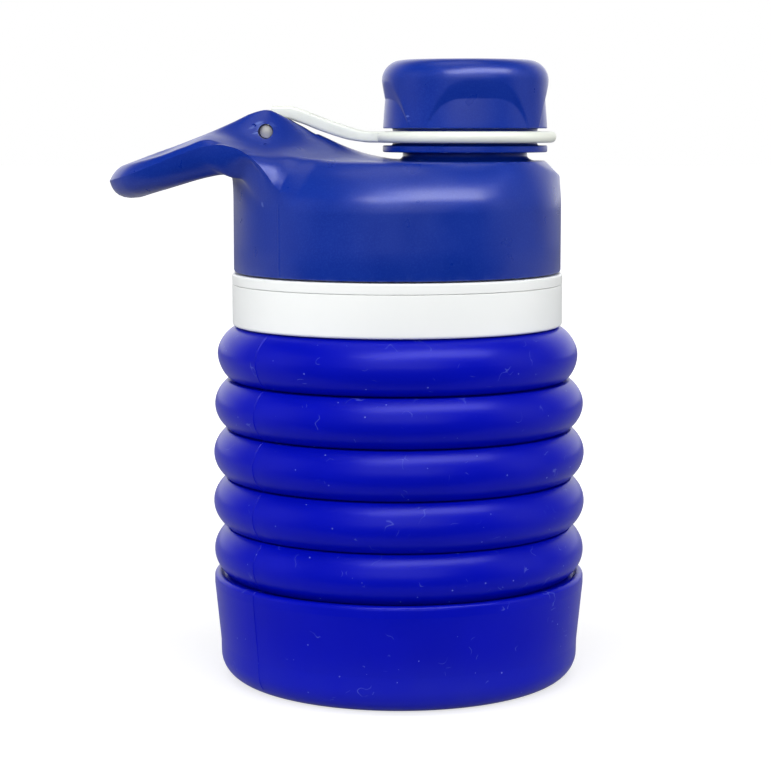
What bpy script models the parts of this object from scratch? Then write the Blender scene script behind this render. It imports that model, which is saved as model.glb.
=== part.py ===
# Collapsible water bottle: a silicone bellows body folded down to its short height,
# a white clamped neck, a screw lid with a loop handle and a small tethered spout cap.
# The origin is the middle of the base's underside, +Z is up and the handle points to -X.
import bpy
import bmesh
from math import asin, atan2, cos, degrees, hypot, pi, radians, sin, sqrt

MM = 0.001
CLEAR = 0.3
OVERCUT = 2.0
TURN_STEPS = 36
SMALL_TURN_STEPS = 32

# Base cup; the body's radius is its rings' usual outer radius
BODY_RADIUS = 39.6
BASE_LIP_STANDS = 0.3
BASE_LIP_HEIGHT = 22.9
BASE_LIP_CREST = 2.2
BASE_LIP_ROUND = 0.9
BASE_TAPER = 1.4
BASE_EDGE_RADIUS = 5.4
BASE_FLOOR = 4.0
BASE_WALL = 3.4
BASE_INNER_ROUND = 3.0
BASE_SEAT_DROP = 2.0
FOOT_GROOVE_INNER = 22.5
FOOT_GROOVE_WIDTH = 4.0
FOOT_GROOVE_DEPTH = 0.7

# Bellows: how far each ring stands out past the body's radius, the lowest one first
RING_STANDS = (0.0, 0.1, 0.0, -0.3, -1.0)
RING_PITCH = 10.5
RING_ARC_RADIUS = 6.5
RING_WALL = 2.2
RING_ARC_ENDS = 51.5
RING_SEAT_RISE = 4.9
FOLD_ROOT_DEPTH = 7.6
FOLD_WALL = 1.1
FOLD_START_SHARE = 0.18
FOLD_END_SHARE = 0.90
FOLD_NOSE = 0.7

# Neck: the silicone sleeve is squeezed between the collar and the insert
COLLAR_SETBACK = 4.3
COLLAR_RISE = 6.3
COLLAR_HEIGHT = 8.8
COLLAR_WALL = 1.6
EDGE_ROUND = 0.6
SEAM_EDGE = 0.25
SLEEVE_WALL = 1.5
SLEEVE_INNER_END = 76.0
INSERT_WALL = 2.2
INSERT_FLANGE = 2.0
INSERT_END = 1.0
MOUTH_EDGE = 0.5
NECK_WALL = 2.4
NECK_HEIGHT = 10.8
THREAD_ROOM = 1.4

# Lid; the plan sizes of its handle, hinge and spout are drawn for a lid of this radius
DRAWN_LID_RADIUS = 34.9
LID_SETBACK = 0.4
LID_WALL = 2.5
LID_HEIGHT = 23.5
DECK_THICKNESS = 3.2
SHOULDER_DROP = 9.0
EDGE_DROP = 6.0
CHAMFER = 3.5
SKIRT_CHAMFER = 0.5
GASKET_WIDTH = 4.4
GASKET_THICKNESS = 1.9
HEAD_ROOM_LEDGE = 1.2
HEAD_ROOM_ROUND = 1.6
# Shoulder depth (mm) against the angle from the spout side (degrees)
SHOULDER_DEPTHS = ((0.0, 0.6), (20.0, 3.0), (50.0, 4.3), (90.0, 9.0), (180.0, 9.0))

# Loop handle: plan outline of its near half, as the distance inwards from the lid's wall and y
HANDLE_PLAN = (
    (-26.7, 0.0), (-25.9, 6.0), (-23.1, 11.6), (-18.3, 15.7), (-12.1, 17.8),
    (-6.1, 18.7), (-1.1, 19.7), (3.4, 21.4), (7.1, 23.2),
)
HANDLE_SPREAD = 46.0
# Heights above the deck against the distance inwards from the lid's wall: the sharp outer edge,
# the ridge line, the surface beside the ridge and the underside
HANDLE_EDGE = (
    (-26.7, -4.4), (-21.0, -2.8), (-14.1, -0.2), (-9.1, 1.7), (-4.3, 3.2), (-1.5, 3.5),
    (1.3, 3.0), (3.9, 1.8), (6.1, 0.1), (8.0, -2.0), (9.9, -4.7), (11.1, -6.0),
)
RIDGE_LINE = (
    (-26.1, -2.0), (-23.5, -1.2), (-14.5, 2.1), (-4.1, 6.05), (1.0, 8.4), (4.7, 10.1),
    (7.5, 10.7), (10.1, 9.75), (13.9, 7.6), (19.9, 4.8), (24.9, 2.6), (29.9, 1.1),
    (34.9, 0.3), (39.9, 0.0),
)
SHELF_LINE = (
    (-26.1, -3.2), (-21.0, -1.6), (-14.1, 1.0), (-9.1, 2.9), (-4.1, 4.4), (-1.1, 4.5),
    (1.9, 4.0), (6.9, 2.8), (12.9, 1.6), (17.9, 0.8), (22.9, 0.25), (28.9, 0.0),
)
UNDERSIDE = (
    (-24.1, -9.6), (-22.1, -8.7), (-14.1, -5.8), (-9.1, -4.1), (-4.4, -2.7),
    (-1.7, -2.3), (-0.1, -2.8), (1.9, -4.2), (6.9, -7.6), (11.9, -8.5),
)
# Half widths of the ridge's flat top and of its foot
RIDGE_TOP_HALF = (
    (-26.1, 5.0), (-20.1, 8.5), (-12.1, 11.3), (-5.1, 10.5), (0.9, 6.6), (14.9, 6.2), (34.9, 6.0),
)
RIDGE_FOOT_HALF = (
    (-26.1, 9.0), (-12.1, 17.0), (-5.1, 17.5), (0.9, 14.0), (6.9, 11.4), (14.9, 12.5),
    (34.9, 20.0),
)
HANDLE_ROUND = 3.0
HANDLE_HULL = 5.0
UNDER_SHARE = 6.0
HOLE_OUTSIDE = 11.1
HOLE_HALF = (8.2, 10.5)
HOLE_POWER = 2.6
HOLE_ROUND = 1.2

# Tether and its hinge
PIN_INSET = 7.45
PIN_RISE = 6.2
PIN_RADIUS = 1.4
PIN_HALF_LENGTH = 8.2
PIN_CLEARANCE = 0.25
EYE_RADIUS = 4.3
SLOT_GAP = 1.3
SLOT_CLEARANCE = 0.4
SLOT_OUTER = 8.0
SLOT_INNER = 14.0
SLOT_SILL = 0.6
SLOT_HEAD = 9.0
SLOT_TURN = 6.0
STRAP_WIDTH = 6.2
STRAP_THICKNESS = 2.25
STRAP_START = 0.85
STRAP_RISE = 4.1
STRAP_GAP = 0.55
# Share of the strap's height against share of its way from the eye to the cap's ring
STRAP_SHARES = (
    (0.0, 1.0), (0.152, 1.0), (0.3135, 0.811), (0.4798, 0.585), (0.6698, 0.2925),
    (0.8361, 0.0943), (1.0, 0.0),
)

# Spout and its cap
SPOUT_INSET = 20.5
SPOUT_OUTER = 12.6
SPOUT_WALL = 2.0
SPOUT_RISE = 12.6
SPOUT_COLLAR = 0.6
SPOUT_FOOT = 1.5
CAP_LIFT = 1.8
CAP_HEIGHT = 19.35
CAP_GAP = 1.4
CAP_WALL = 1.4
CAP_FLANGE = 1.4
CAP_GROOVE = 3.6
CAP_LEDGE = 2.1
CAP_STANDS = 0.2
CAP_WIDEST_SHARE = 0.7752
CAP_TOP_ROUND = 4.6
CAP_EDGE = 0.3
SEAL_THICKNESS = 1.5
SEAL_WIDTH = 4.2
TETHER_RING_HEIGHT = 2.3
TETHER_RING_STANDS = 4.0
TETHER_RING_GAP = 0.4
SCALLOPS = 4
SCALLOP_TURN = 81.2
SCALLOP_HALF_ANGLE = 38.0
SCALLOP_DEPTH = 0.55
SCALLOP_BREAK_SHARE = 0.616
SCALLOP_BREAK_POWER = 4.0
SCALLOP_RISE_SHARE = 0.985
SCALLOP_RISE_POWER = 3.1
SCALLOP_LEAST_ARCH = 0.03

BASE_LIP_RADIUS = BODY_RADIUS + BASE_LIP_STANDS
BASE_FOOT_RADIUS = BASE_LIP_RADIUS - BASE_TAPER
RING_RADII = tuple(BODY_RADIUS + stands for stands in RING_STANDS)
FIRST_RING_HEIGHT = BASE_LIP_HEIGHT + RING_SEAT_RISE
TOP_RING_HEIGHT = FIRST_RING_HEIGHT + RING_PITCH * (len(RING_STANDS) - 1)
COLLAR_RADIUS = BODY_RADIUS - COLLAR_SETBACK
COLLAR_BOTTOM = TOP_RING_HEIGHT + COLLAR_RISE
SLEEVE_RADIUS = COLLAR_RADIUS - COLLAR_WALL - CLEAR
INSERT_RADIUS = SLEEVE_RADIUS - SLEEVE_WALL - CLEAR
FLANGE_BOTTOM = COLLAR_BOTTOM + COLLAR_HEIGHT + CLEAR
FLANGE_TOP = FLANGE_BOTTOM + INSERT_FLANGE
LID_RADIUS = COLLAR_RADIUS - LID_SETBACK
LID_BOTTOM = FLANGE_TOP + CLEAR
DECK_HEIGHT = LID_BOTTOM + LID_HEIGHT
EDGE_START = DECK_HEIGHT - EDGE_DROP
SHOULDER_START = DECK_HEIGHT - SHOULDER_DROP
LID_SCALE = LID_RADIUS / DRAWN_LID_RADIUS
NECK_RADIUS = LID_RADIUS - LID_WALL - THREAD_ROOM
NECK_TOP = FLANGE_TOP + NECK_HEIGHT
GASKET_BOTTOM = NECK_TOP + CLEAR
GASKET_SEAT = GASKET_BOTTOM + GASKET_THICKNESS + CLEAR
GASKET_RADIUS = LID_RADIUS - LID_WALL - CLEAR
HEAD_ROOM_RADIUS = GASKET_RADIUS - GASKET_WIDTH - HEAD_ROOM_LEDGE
HOLE_CENTRE = -LID_RADIUS - HOLE_OUTSIDE * LID_SCALE
HOLE_X, HOLE_Y = (half * LID_SCALE for half in HOLE_HALF)
PIN_X = PIN_INSET * LID_SCALE - LID_RADIUS
PIN_Z = DECK_HEIGHT + PIN_RISE
SPOUT_X = LID_RADIUS - SPOUT_INSET * LID_SCALE
SPOUT_RADIUS = SPOUT_OUTER * LID_SCALE
CAP_BASE = DECK_HEIGHT + CAP_LIFT
CAP_TOP = CAP_BASE + CAP_HEIGHT
SPOUT_TOP = CAP_BASE + SPOUT_RISE
CAP_BORE = SPOUT_RADIUS + CAP_GAP
CAP_GROOVE_RADIUS = CAP_BORE + CAP_WALL
CAP_SKIRT = CAP_GROOVE_RADIUS + CAP_LEDGE
CAP_RADIUS = CAP_SKIRT + CAP_STANDS
CAP_WIDEST_HEIGHT = CAP_BASE + CAP_HEIGHT * CAP_WIDEST_SHARE
CAP_SKIRT_BOTTOM = CAP_BASE + CAP_FLANGE + CAP_GROOVE
TETHER_RING_RADIUS = CAP_GROOVE_RADIUS + TETHER_RING_STANDS
TETHER_LEVEL = CAP_BASE + CAP_FLANGE + CAP_GROOVE / 2.0


def smooth(value):
    t = min(max(value, 0.0), 1.0)
    return t * t * (3.0 - 2.0 * t)


def along(keys, x):
    # A smooth curve through a few (x, value) keys that never overshoots them
    if x <= keys[0][0]:
        return keys[0][1]
    if x >= keys[-1][0]:
        return keys[-1][1]
    slopes = [(b[1] - a[1]) / (b[0] - a[0]) for a, b in zip(keys, keys[1:])]
    tangents = [slopes[0]]
    for before, after in zip(slopes, slopes[1:]):
        tangents.append(0.0 if before * after <= 0 else 2.0 * before * after / (before + after))
    tangents.append(slopes[-1])
    i = max(k for k in range(len(slopes)) if keys[k][0] <= x)
    width = keys[i + 1][0] - keys[i][0]
    t = (x - keys[i][0]) / width
    start = (1 + 2 * t) * (1 - t) ** 2 * keys[i][1] + t * (1 - t) ** 2 * width * tangents[i]
    end = t * t * (3 - 2 * t) * keys[i + 1][1] + t * t * (t - 1) * width * tangents[i + 1]
    return start + end


def arc(centre_r, centre_z, radius, start, end, count):
    step = (end - start) / (count - 1)
    angles = [radians(start + i * step) for i in range(count)]
    return [(centre_r + radius * cos(a), centre_z + radius * sin(a)) for a in angles]


def material(name, colour, roughness, metallic=0.0):
    made = bpy.data.materials.new(name)
    made.use_nodes = True
    shader = made.node_tree.nodes["Principled BSDF"]
    shader.inputs["Base Color"].default_value = (*colour, 1.0)
    shader.inputs["Roughness"].default_value = roughness
    shader.inputs["Metallic"].default_value = metallic
    made.diffuse_color = (*colour, 1.0)
    return made


def add_mesh(name, verts, faces, finish, folder, centre=(0.0, 0.0)):
    mesh = bpy.data.meshes.new(name)
    shift = [((x - centre[0]) * MM, (y - centre[1]) * MM, z * MM) for x, y, z in verts]
    mesh.from_pydata(shift, [], faces)
    obj = bpy.data.objects.new(name, mesh)
    obj.location = (centre[0] * MM, centre[1] * MM, 0.0)
    if finish:
        mesh.materials.append(finish)
    folder.objects.link(obj)
    return obj


def turned(name, profile, finish, folder, closed=True, x=0.0, steps=TURN_STEPS):
    # The profile runs down its outer side; a closed one is a ring, an open one ends on the axis
    verts = [(r * MM, 0.0, z * MM) for r, z in profile]
    edges = [(i, i + 1) for i in range(len(profile) - 1)]
    if closed:
        edges.append((len(profile) - 1, 0))
    mesh = bpy.data.meshes.new(name)
    mesh.from_pydata(verts, edges, [])
    obj = bpy.data.objects.new(name, mesh)
    obj.location.x = x * MM
    if finish:
        mesh.materials.append(finish)
    screw = obj.modifiers.new("Turn", "SCREW")
    screw.steps = steps
    screw.render_steps = steps
    screw.use_merge_vertices = True
    screw.merge_threshold = 0.00001
    folder.objects.link(obj)
    return obj


def loft(name, sections, finish, folder, centre=(0.0, 0.0)):
    # Closed loops of the same count joined one to the next, with a face at each end
    count = len(sections[0])
    verts = [point for section in sections for point in section]
    faces = [tuple(range(count))]
    for s in range(len(sections) - 1):
        for i in range(count):
            a = s * count + i
            b = s * count + (i + 1) % count
            faces.append((a, a + count, b + count, b))
    last = (len(sections) - 1) * count
    faces.append(tuple(last + i for i in reversed(range(count))))
    obj = add_mesh(name, verts, faces, finish, folder, centre)
    outward(obj)
    return obj


def outward(obj):
    work = bmesh.new()
    work.from_mesh(obj.data)
    bmesh.ops.recalc_face_normals(work, faces=work.faces[:])
    work.to_mesh(obj.data)
    work.free()


def cut(obj, cutter, operation="DIFFERENCE"):
    cutter.hide_render = True
    cutter.display_type = "WIRE"
    boolean = obj.modifiers.new(cutter.name, "BOOLEAN")
    boolean.operation = operation
    boolean.solver = "EXACT"
    boolean.object = cutter


def smooth_shade(obj, angle=35.0):
    obj.data.shade_smooth()
    if obj.data.polygons:
        obj.data.set_sharp_from_angle(angle=radians(angle))


def ring_height(index):
    return FIRST_RING_HEIGHT + index * RING_PITCH


def crease_height(index):
    return ring_height(index) - RING_PITCH / 2.0


def arc_end(radius, height, side, depth):
    # A corner of a ring's cut end: side +1 is its top end, depth is measured in from its skin
    reach = RING_ARC_RADIUS - depth
    angle = radians(RING_ARC_ENDS)
    return (radius - RING_ARC_RADIUS + reach * cos(angle), height + side * reach * sin(angle))


def base_cup(silicone, parts):
    # From the floor's middle up the inside, over the fold's seat and the lip, and down outside
    crease = crease_height(0)
    seat_out = arc_end(RING_RADII[0], crease - RING_PITCH / 2.0, 1, 0.0)
    seat_in = arc_end(RING_RADII[0], crease - RING_PITCH / 2.0, 1, RING_WALL)
    waist = (BASE_LIP_RADIUS + BASE_FOOT_RADIUS) / 2.0
    inside = BASE_FOOT_RADIUS - BASE_WALL
    inner = FOOT_GROOVE_INNER
    outer = inner + FOOT_GROOVE_WIDTH
    deep = FOOT_GROOVE_DEPTH
    profile = [(0.0, BASE_FLOOR), (inside - BASE_INNER_ROUND, BASE_FLOOR)]
    profile += [(inside, BASE_FLOOR + BASE_INNER_ROUND)]
    profile += [(seat_in[0], seat_in[1] - BASE_SEAT_DROP), seat_in, seat_out]
    profile.append((BASE_LIP_RADIUS - BASE_LIP_CREST * 0.73, BASE_LIP_HEIGHT - BASE_LIP_ROUND / 6.0))
    profile.append((BASE_LIP_RADIUS - BASE_LIP_CREST * 0.36, BASE_LIP_HEIGHT))
    profile.append((BASE_LIP_RADIUS - BASE_LIP_ROUND / 3.0, BASE_LIP_HEIGHT - BASE_LIP_ROUND))
    profile.append((BASE_LIP_RADIUS, BASE_LIP_HEIGHT - BASE_LIP_CREST))
    profile += [(waist, BASE_LIP_HEIGHT / 2.0)]
    profile += arc(BASE_FOOT_RADIUS - BASE_EDGE_RADIUS, BASE_EDGE_RADIUS, BASE_EDGE_RADIUS, 0.0, -90.0, 6)
    profile += [(outer, 0.0), (outer - deep, deep), (inner + deep, deep), (inner, 0.0), (0.0, 0.0)]
    return turned("base_cup", profile, silicone, parts, closed=False)


def bellows_ring(index, silicone, parts):
    radius = RING_RADII[index]
    height = ring_height(index)
    centre = radius - RING_ARC_RADIUS
    profile = arc(centre, height, RING_ARC_RADIUS, RING_ARC_ENDS, -RING_ARC_ENDS, 6)
    profile += arc(centre, height, RING_ARC_RADIUS - RING_WALL, -RING_ARC_ENDS, RING_ARC_ENDS, 4)
    return turned(f"bellows_ring_{index + 1}", profile, silicone, parts)


def shoulder_ring(silicone, parts):
    # The top ring runs on into the sleeve that the collar squeezes on the neck insert
    index = len(RING_RADII) - 1
    radius = RING_RADII[index]
    height = ring_height(index)
    centre = radius - RING_ARC_RADIUS
    top = FLANGE_BOTTOM - CLEAR
    under_collar = asin((COLLAR_BOTTOM - CLEAR - height) / RING_ARC_RADIUS)
    profile = [(SLEEVE_RADIUS, top), (SLEEVE_RADIUS, COLLAR_BOTTOM - CLEAR)]
    profile += arc(centre, height, RING_ARC_RADIUS, degrees(under_collar), -RING_ARC_ENDS, 7)
    profile += arc(centre, height, RING_ARC_RADIUS - RING_WALL, -RING_ARC_ENDS, SLEEVE_INNER_END, 7)
    profile += [(SLEEVE_RADIUS - SLEEVE_WALL, COLLAR_BOTTOM), (SLEEVE_RADIUS - SLEEVE_WALL, top)]
    return turned(f"bellows_ring_{index + 1}", profile, silicone, parts)


def fold(index, silicone, parts):
    # A web folded in a V between one ring (or the base) and the ring above it
    crease = crease_height(index)
    below = min(RING_RADII[index], RING_RADII[max(index - 1, 0)])
    skin = arc_end(below, crease + RING_PITCH / 2.0, -1, 0.0)
    inner = arc_end(below, crease + RING_PITCH / 2.0, -1, RING_WALL)
    lift = inner[1] - skin[1]
    run = inner[0] - skin[0]
    length = hypot(run, lift)
    gap_r = -lift / length * CLEAR
    gap_z = run / length * CLEAR
    upper = []
    for share in (FOLD_START_SHARE, FOLD_END_SHARE):
        upper.append((skin[0] + run * share + gap_r, skin[1] + lift * share + gap_z - crease))
    root = skin[0] - FOLD_ROOT_DEPTH
    upper.append((root + FOLD_NOSE, FOLD_WALL * 0.9))
    lower = [(r, -z) for r, z in reversed(upper)]
    nose = [(root, 0.0)]
    apex = [(root + FOLD_WALL * 1.4, 0.0)]
    profile = [(r, crease + z) for r, z in apex + upper + nose + lower]
    return turned(f"fold_{index + 1}", profile[::-1], silicone, parts)


def collar(white, parts):
    top = COLLAR_BOTTOM + COLLAR_HEIGHT
    inner = COLLAR_RADIUS - COLLAR_WALL
    profile = [(COLLAR_RADIUS - SEAM_EDGE, top), (COLLAR_RADIUS, top - SEAM_EDGE)]
    profile += [(COLLAR_RADIUS, COLLAR_BOTTOM + EDGE_ROUND), (COLLAR_RADIUS - EDGE_ROUND, COLLAR_BOTTOM)]
    profile += [(inner, COLLAR_BOTTOM), (inner, top)]
    return turned("clamp_collar", profile, white, parts)


def neck_insert(white, parts):
    inside = INSERT_RADIUS - INSERT_WALL
    neck_in = NECK_RADIUS - NECK_WALL
    profile = [(NECK_RADIUS - MOUTH_EDGE, NECK_TOP), (NECK_RADIUS, NECK_TOP - MOUTH_EDGE)]
    profile += [(NECK_RADIUS, FLANGE_TOP), (COLLAR_RADIUS - EDGE_ROUND, FLANGE_TOP)]
    profile += [(COLLAR_RADIUS, FLANGE_TOP - EDGE_ROUND), (COLLAR_RADIUS, FLANGE_BOTTOM + SEAM_EDGE)]
    profile += [(COLLAR_RADIUS - SEAM_EDGE, FLANGE_BOTTOM), (INSERT_RADIUS, FLANGE_BOTTOM)]
    profile += [(INSERT_RADIUS, COLLAR_BOTTOM + INSERT_END), (inside, COLLAR_BOTTOM + INSERT_END)]
    profile += [(min(inside, neck_in), FLANGE_BOTTOM - INSERT_END)]
    profile += [(neck_in, NECK_TOP - MOUTH_EDGE), (neck_in + MOUTH_EDGE, NECK_TOP)]
    return turned("neck_insert", profile, white, parts)


def lid_key(keys, x):
    return along(keys, (x + LID_RADIUS) / LID_SCALE)


def shoulder_radius(depth, z):
    rise = min(max((z - SHOULDER_START) / SHOULDER_DROP, 0.0), 1.0)
    return LID_RADIUS - depth * (1.0 - sqrt(1.0 - rise * rise))


def plan_radius(beta):
    # Radius of the lid's outline in plan; beta is the angle (degrees) away from the handle's middle
    depth = along(SHOULDER_DEPTHS, 180.0 - beta)
    rim = shoulder_radius(depth, EDGE_START)
    if beta >= HANDLE_SPREAD:
        return rim
    outline = [(LID_RADIUS - inwards * LID_SCALE, y * LID_SCALE) for inwards, y in HANDLE_PLAN]
    keys = [(degrees(atan2(y, out)), hypot(out, y)) for out, y in outline]
    return along(keys + [(HANDLE_SPREAD, rim)], beta)


def edge_height(beta):
    if beta >= HANDLE_SPREAD:
        return EDGE_START
    return DECK_HEIGHT + lid_key(HANDLE_EDGE, -plan_radius(beta) * cos(radians(beta)))


def hole_distance(x, y):
    # About how far a point lies outside the finger hole's rim
    across = abs((x - HOLE_CENTRE) / HOLE_X)
    beside = abs(y / HOLE_Y)
    size = (across ** HOLE_POWER + beside ** HOLE_POWER) ** (1.0 / HOLE_POWER)
    return (size - 1.0) * HOLE_X


def top_height(r, beta):
    # Height of the lid's upper surface: deck, shoulder, hump and the handle's crowned top
    x = -r * cos(radians(beta))
    y = r * sin(radians(beta))
    ridge = DECK_HEIGHT + lid_key(RIDGE_LINE, x)
    shelf = DECK_HEIGHT + lid_key(SHELF_LINE, x)
    half = lid_key(RIDGE_TOP_HALF, x)
    foot = lid_key(RIDGE_FOOT_HALF, x)
    height = shelf + (ridge - shelf) * (1.0 - smooth((y / LID_SCALE - half) / (foot - half)))
    depth = along(SHOULDER_DEPTHS, 180.0 - beta)
    blend = smooth((beta - 26.0) / 30.0)
    reach = HANDLE_ROUND + (depth * 0.943 - HANDLE_ROUND) * blend
    inside = 1.0 - min((plan_radius(beta) - r) / reach, 1.0)
    bend = 0.80 + 0.126 * blend
    fall = (1.0 - sqrt(1.0 - (bend * inside) ** 2)) / (1.0 - sqrt(1.0 - bend ** 2))
    height -= (height - edge_height(beta)) * fall
    if beta > 70.0:
        height = min(height, DECK_HEIGHT - (r - (LID_RADIUS - CHAMFER)))
    rim = hole_distance(x, y)
    if rim < HOLE_ROUND:
        near = min(HOLE_ROUND - rim, HOLE_ROUND)
        height -= HOLE_ROUND - sqrt(HOLE_ROUND ** 2 - near ** 2)
    return height


def spline(control, count):
    # A uniform cubic B-spline that starts and ends on its first and last control points
    padded = [control[0]] * 2 + list(control) + [control[-1]] * 2
    spans = len(padded) - 3
    points = []
    for i in range(count):
        place = i / (count - 1) * spans
        k = min(int(place), spans - 1)
        t = place - k
        weights = ((1 - t) ** 3 / 6, (3 * t ** 3 - 6 * t * t + 4) / 6,
                   (-3 * t ** 3 + 3 * t * t + 3 * t + 1) / 6, t ** 3 / 6)
        points.append(tuple(sum(w * padded[k + j][a] for j, w in enumerate(weights)) for a in (0, 1)))
    return points


def lower_side(beta, count):
    # From the outer edge down and in under the handle, or down the shoulder, to the wall
    # An edge that hardly stands out from the wall runs straight down to it
    edge = (plan_radius(beta), edge_height(beta))
    if beta >= HANDLE_SPREAD:
        depth = along(SHOULDER_DEPTHS, 180.0 - beta)
        levels = [EDGE_START + (SHOULDER_START - EDGE_START) * i / (count - 1) for i in range(count)]
        return [(shoulder_radius(depth, z), z) for z in levels]
    overhang = edge[0] - LID_RADIUS
    share = smooth(overhang / 9.0)
    hull_r = edge[0] - HANDLE_HULL * share
    hull = DECK_HEIGHT + lid_key(UNDERSIDE, -hull_r * cos(radians(beta)))
    hull_z = edge[1] - share * (edge[1] - hull + 0.4)
    root_r = LID_RADIUS + 1.0 * share
    root = DECK_HEIGHT + lid_key(UNDERSIDE, -(root_r + 1.0) * cos(radians(beta)))
    root_z = root + 0.8 * share
    control = [edge, (edge[0] - 0.8 * share, edge[1] + (hull_z - edge[1]) * 0.62), (hull_r, hull_z)]
    control += [((hull_r + root_r) / 2.0, (hull_z + root_z) / 2.0 + 0.2 * share), (root_r, root_z)]
    control += [(LID_RADIUS, max(root_z - 1.6, SHOULDER_START)), (LID_RADIUS, SHOULDER_START)]
    under = spline(control, count)
    weight = min(share * UNDER_SHARE, 1.0)
    line = []
    for i, (r, z) in enumerate(under):
        down = i / (count - 1)
        plain_r = edge[0] + (LID_RADIUS - edge[0]) * down
        plain_z = edge[1] + (SHOULDER_START - edge[1]) * down
        line.append((plain_r + (r - plain_r) * weight, plain_z + (z - plain_z) * weight))
    return line


def lid_sections():
    angles = [beta for beta in range(-180, 180, 10) if abs(beta) > 50]
    angles += [i * 3.5 for i in range(-14, 15)]
    return sorted(angles)


def lid_shell(blue, parts, cutters):
    rim_steps = (0.0, 0.5, 1.2, 2.2, 3.45, 5.0, 7.0, 9.2)
    inner_count = 13
    lower_count = 8
    verts = [(0.0, 0.0, top_height(0.0, 180.0))]
    angles = lid_sections()
    wall_in = LID_RADIUS - LID_WALL
    for beta in angles:
        side = abs(beta)
        out = plan_radius(side)
        start = out - rim_steps[-1]
        radii = [start * i / inner_count for i in range(1, inner_count)]
        radii += [out - step for step in reversed(rim_steps)]
        line = [(r, top_height(r, side)) for r in radii]
        line[-1] = (out, edge_height(side))
        line += lower_side(side, lower_count)[1:]
        line += [(LID_RADIUS, LID_BOTTOM + SKIRT_CHAMFER), (LID_RADIUS - SKIRT_CHAMFER, LID_BOTTOM)]
        line += [(wall_in, LID_BOTTOM), (wall_in, GASKET_SEAT), (HEAD_ROOM_RADIUS, GASKET_SEAT)]
        line += [(HEAD_ROOM_RADIUS, DECK_HEIGHT - DECK_THICKNESS - HEAD_ROOM_ROUND)]
        line += [(HEAD_ROOM_RADIUS - HEAD_ROOM_ROUND, DECK_HEIGHT - DECK_THICKNESS)]
        turn = radians(180.0 - beta)
        verts += [(r * cos(turn), r * sin(turn), z) for r, z in line]
    count = len(line)
    verts.append((0.0, 0.0, DECK_HEIGHT - DECK_THICKNESS))
    last = len(verts) - 1
    faces = []
    for k in range(len(angles)):
        a = 1 + k * count
        b = 1 + (k + 1) % len(angles) * count
        faces.append((0, a, b))
        faces += [(a + i, a + i + 1, b + i + 1, b + i) for i in range(count - 1)]
        faces.append((a + count - 1, last, b + count - 1))
    obj = add_mesh("lid_shell", verts, faces, blue, parts)
    outward(obj)
    foot = SPOUT_RADIUS + SPOUT_FOOT
    spout = [(SPOUT_RADIUS - SPOUT_WALL, SPOUT_TOP), (SPOUT_RADIUS - MOUTH_EDGE, SPOUT_TOP)]
    spout += [(SPOUT_RADIUS, SPOUT_TOP - MOUTH_EDGE), (SPOUT_RADIUS, CAP_BASE + SPOUT_COLLAR)]
    spout += [(SPOUT_RADIUS + SPOUT_COLLAR, CAP_BASE)]
    spout += [(SPOUT_RADIUS + SPOUT_COLLAR + 0.1, DECK_HEIGHT + 0.6), (foot, DECK_HEIGHT)]
    spout += [(foot, DECK_HEIGHT - 1.0), (SPOUT_RADIUS - SPOUT_WALL, DECK_HEIGHT - 1.0)]
    steps = SMALL_TURN_STEPS
    cut(obj, turned("spout_tube", spout, None, cutters, x=SPOUT_X, steps=steps), "UNION")
    bore = SPOUT_RADIUS - SPOUT_WALL + 0.02
    under_deck = DECK_HEIGHT - DECK_THICKNESS - OVERCUT
    cut(obj, rod("spout_bore", SPOUT_X, under_deck, SPOUT_TOP + OVERCUT, bore, cutters))
    cut(obj, slot_cutter(cutters))
    cut(obj, cross_rod("pin_hole", PIN_RADIUS + PIN_CLEARANCE, PIN_HALF_LENGTH * 2.0, cutters))
    cut(obj, finger_cutter(cutters))
    smooth_shade(obj)
    return obj


def rod(name, x, bottom, top, radius, folder, steps=SMALL_TURN_STEPS):
    profile = [(0.0, top), (radius, top), (radius, bottom), (0.0, bottom)]
    return turned(name, profile, None, folder, closed=False, x=x, steps=steps)


def cross_rod(name, radius, half, folder, finish=None, sides=24):
    # A round bar on the hinge's axis, along Y
    turns = [2 * pi * i / sides for i in range(sides)]
    ring = [(PIN_X + radius * cos(a), PIN_Z + radius * sin(a)) for a in turns]
    return side_plate(name, ring, half, folder, finish)


def side_plate(name, outline, half, folder, finish=None):
    # A closed outline in the XZ plane, thickened to both sides of Y = 0
    sections = [[(x, y, z) for x, z in outline] for y in (-half, half)]
    return loft(name, sections, finish, folder)


def slot_cutter(cutters):
    # The tether's eye turns in this slot; its floor is round about the pin and its top is open
    half = STRAP_WIDTH / 2.0 + SLOT_CLEARANCE
    above = PIN_Z + SLOT_HEAD
    sill = PIN_Z - SLOT_SILL
    floor = [(PIN_X - SLOT_OUTER, above), (PIN_X - SLOT_OUTER, sill)]
    floor += arc(PIN_X, PIN_Z, EYE_RADIUS + SLOT_GAP, 180.0 + SLOT_TURN, 360.0 - SLOT_TURN, 12)
    floor += [(PIN_X + SLOT_INNER, sill), (PIN_X + SLOT_INNER, above)]
    return side_plate("tether_slot", floor, half, cutters)


def finger_cutter(cutters, count=28):
    outline = []
    for i in range(count):
        a = 2 * pi * i / count
        size = (abs(cos(a)) ** HOLE_POWER + abs(sin(a)) ** HOLE_POWER) ** (-1.0 / HOLE_POWER)
        outline.append((HOLE_CENTRE + HOLE_X * size * cos(a), HOLE_Y * size * sin(a)))
    sections = [[(x, y, z) for x, y in outline] for z in (LID_BOTTOM, CAP_TOP)]
    return loft("finger_hole", sections, None, cutters)


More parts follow.
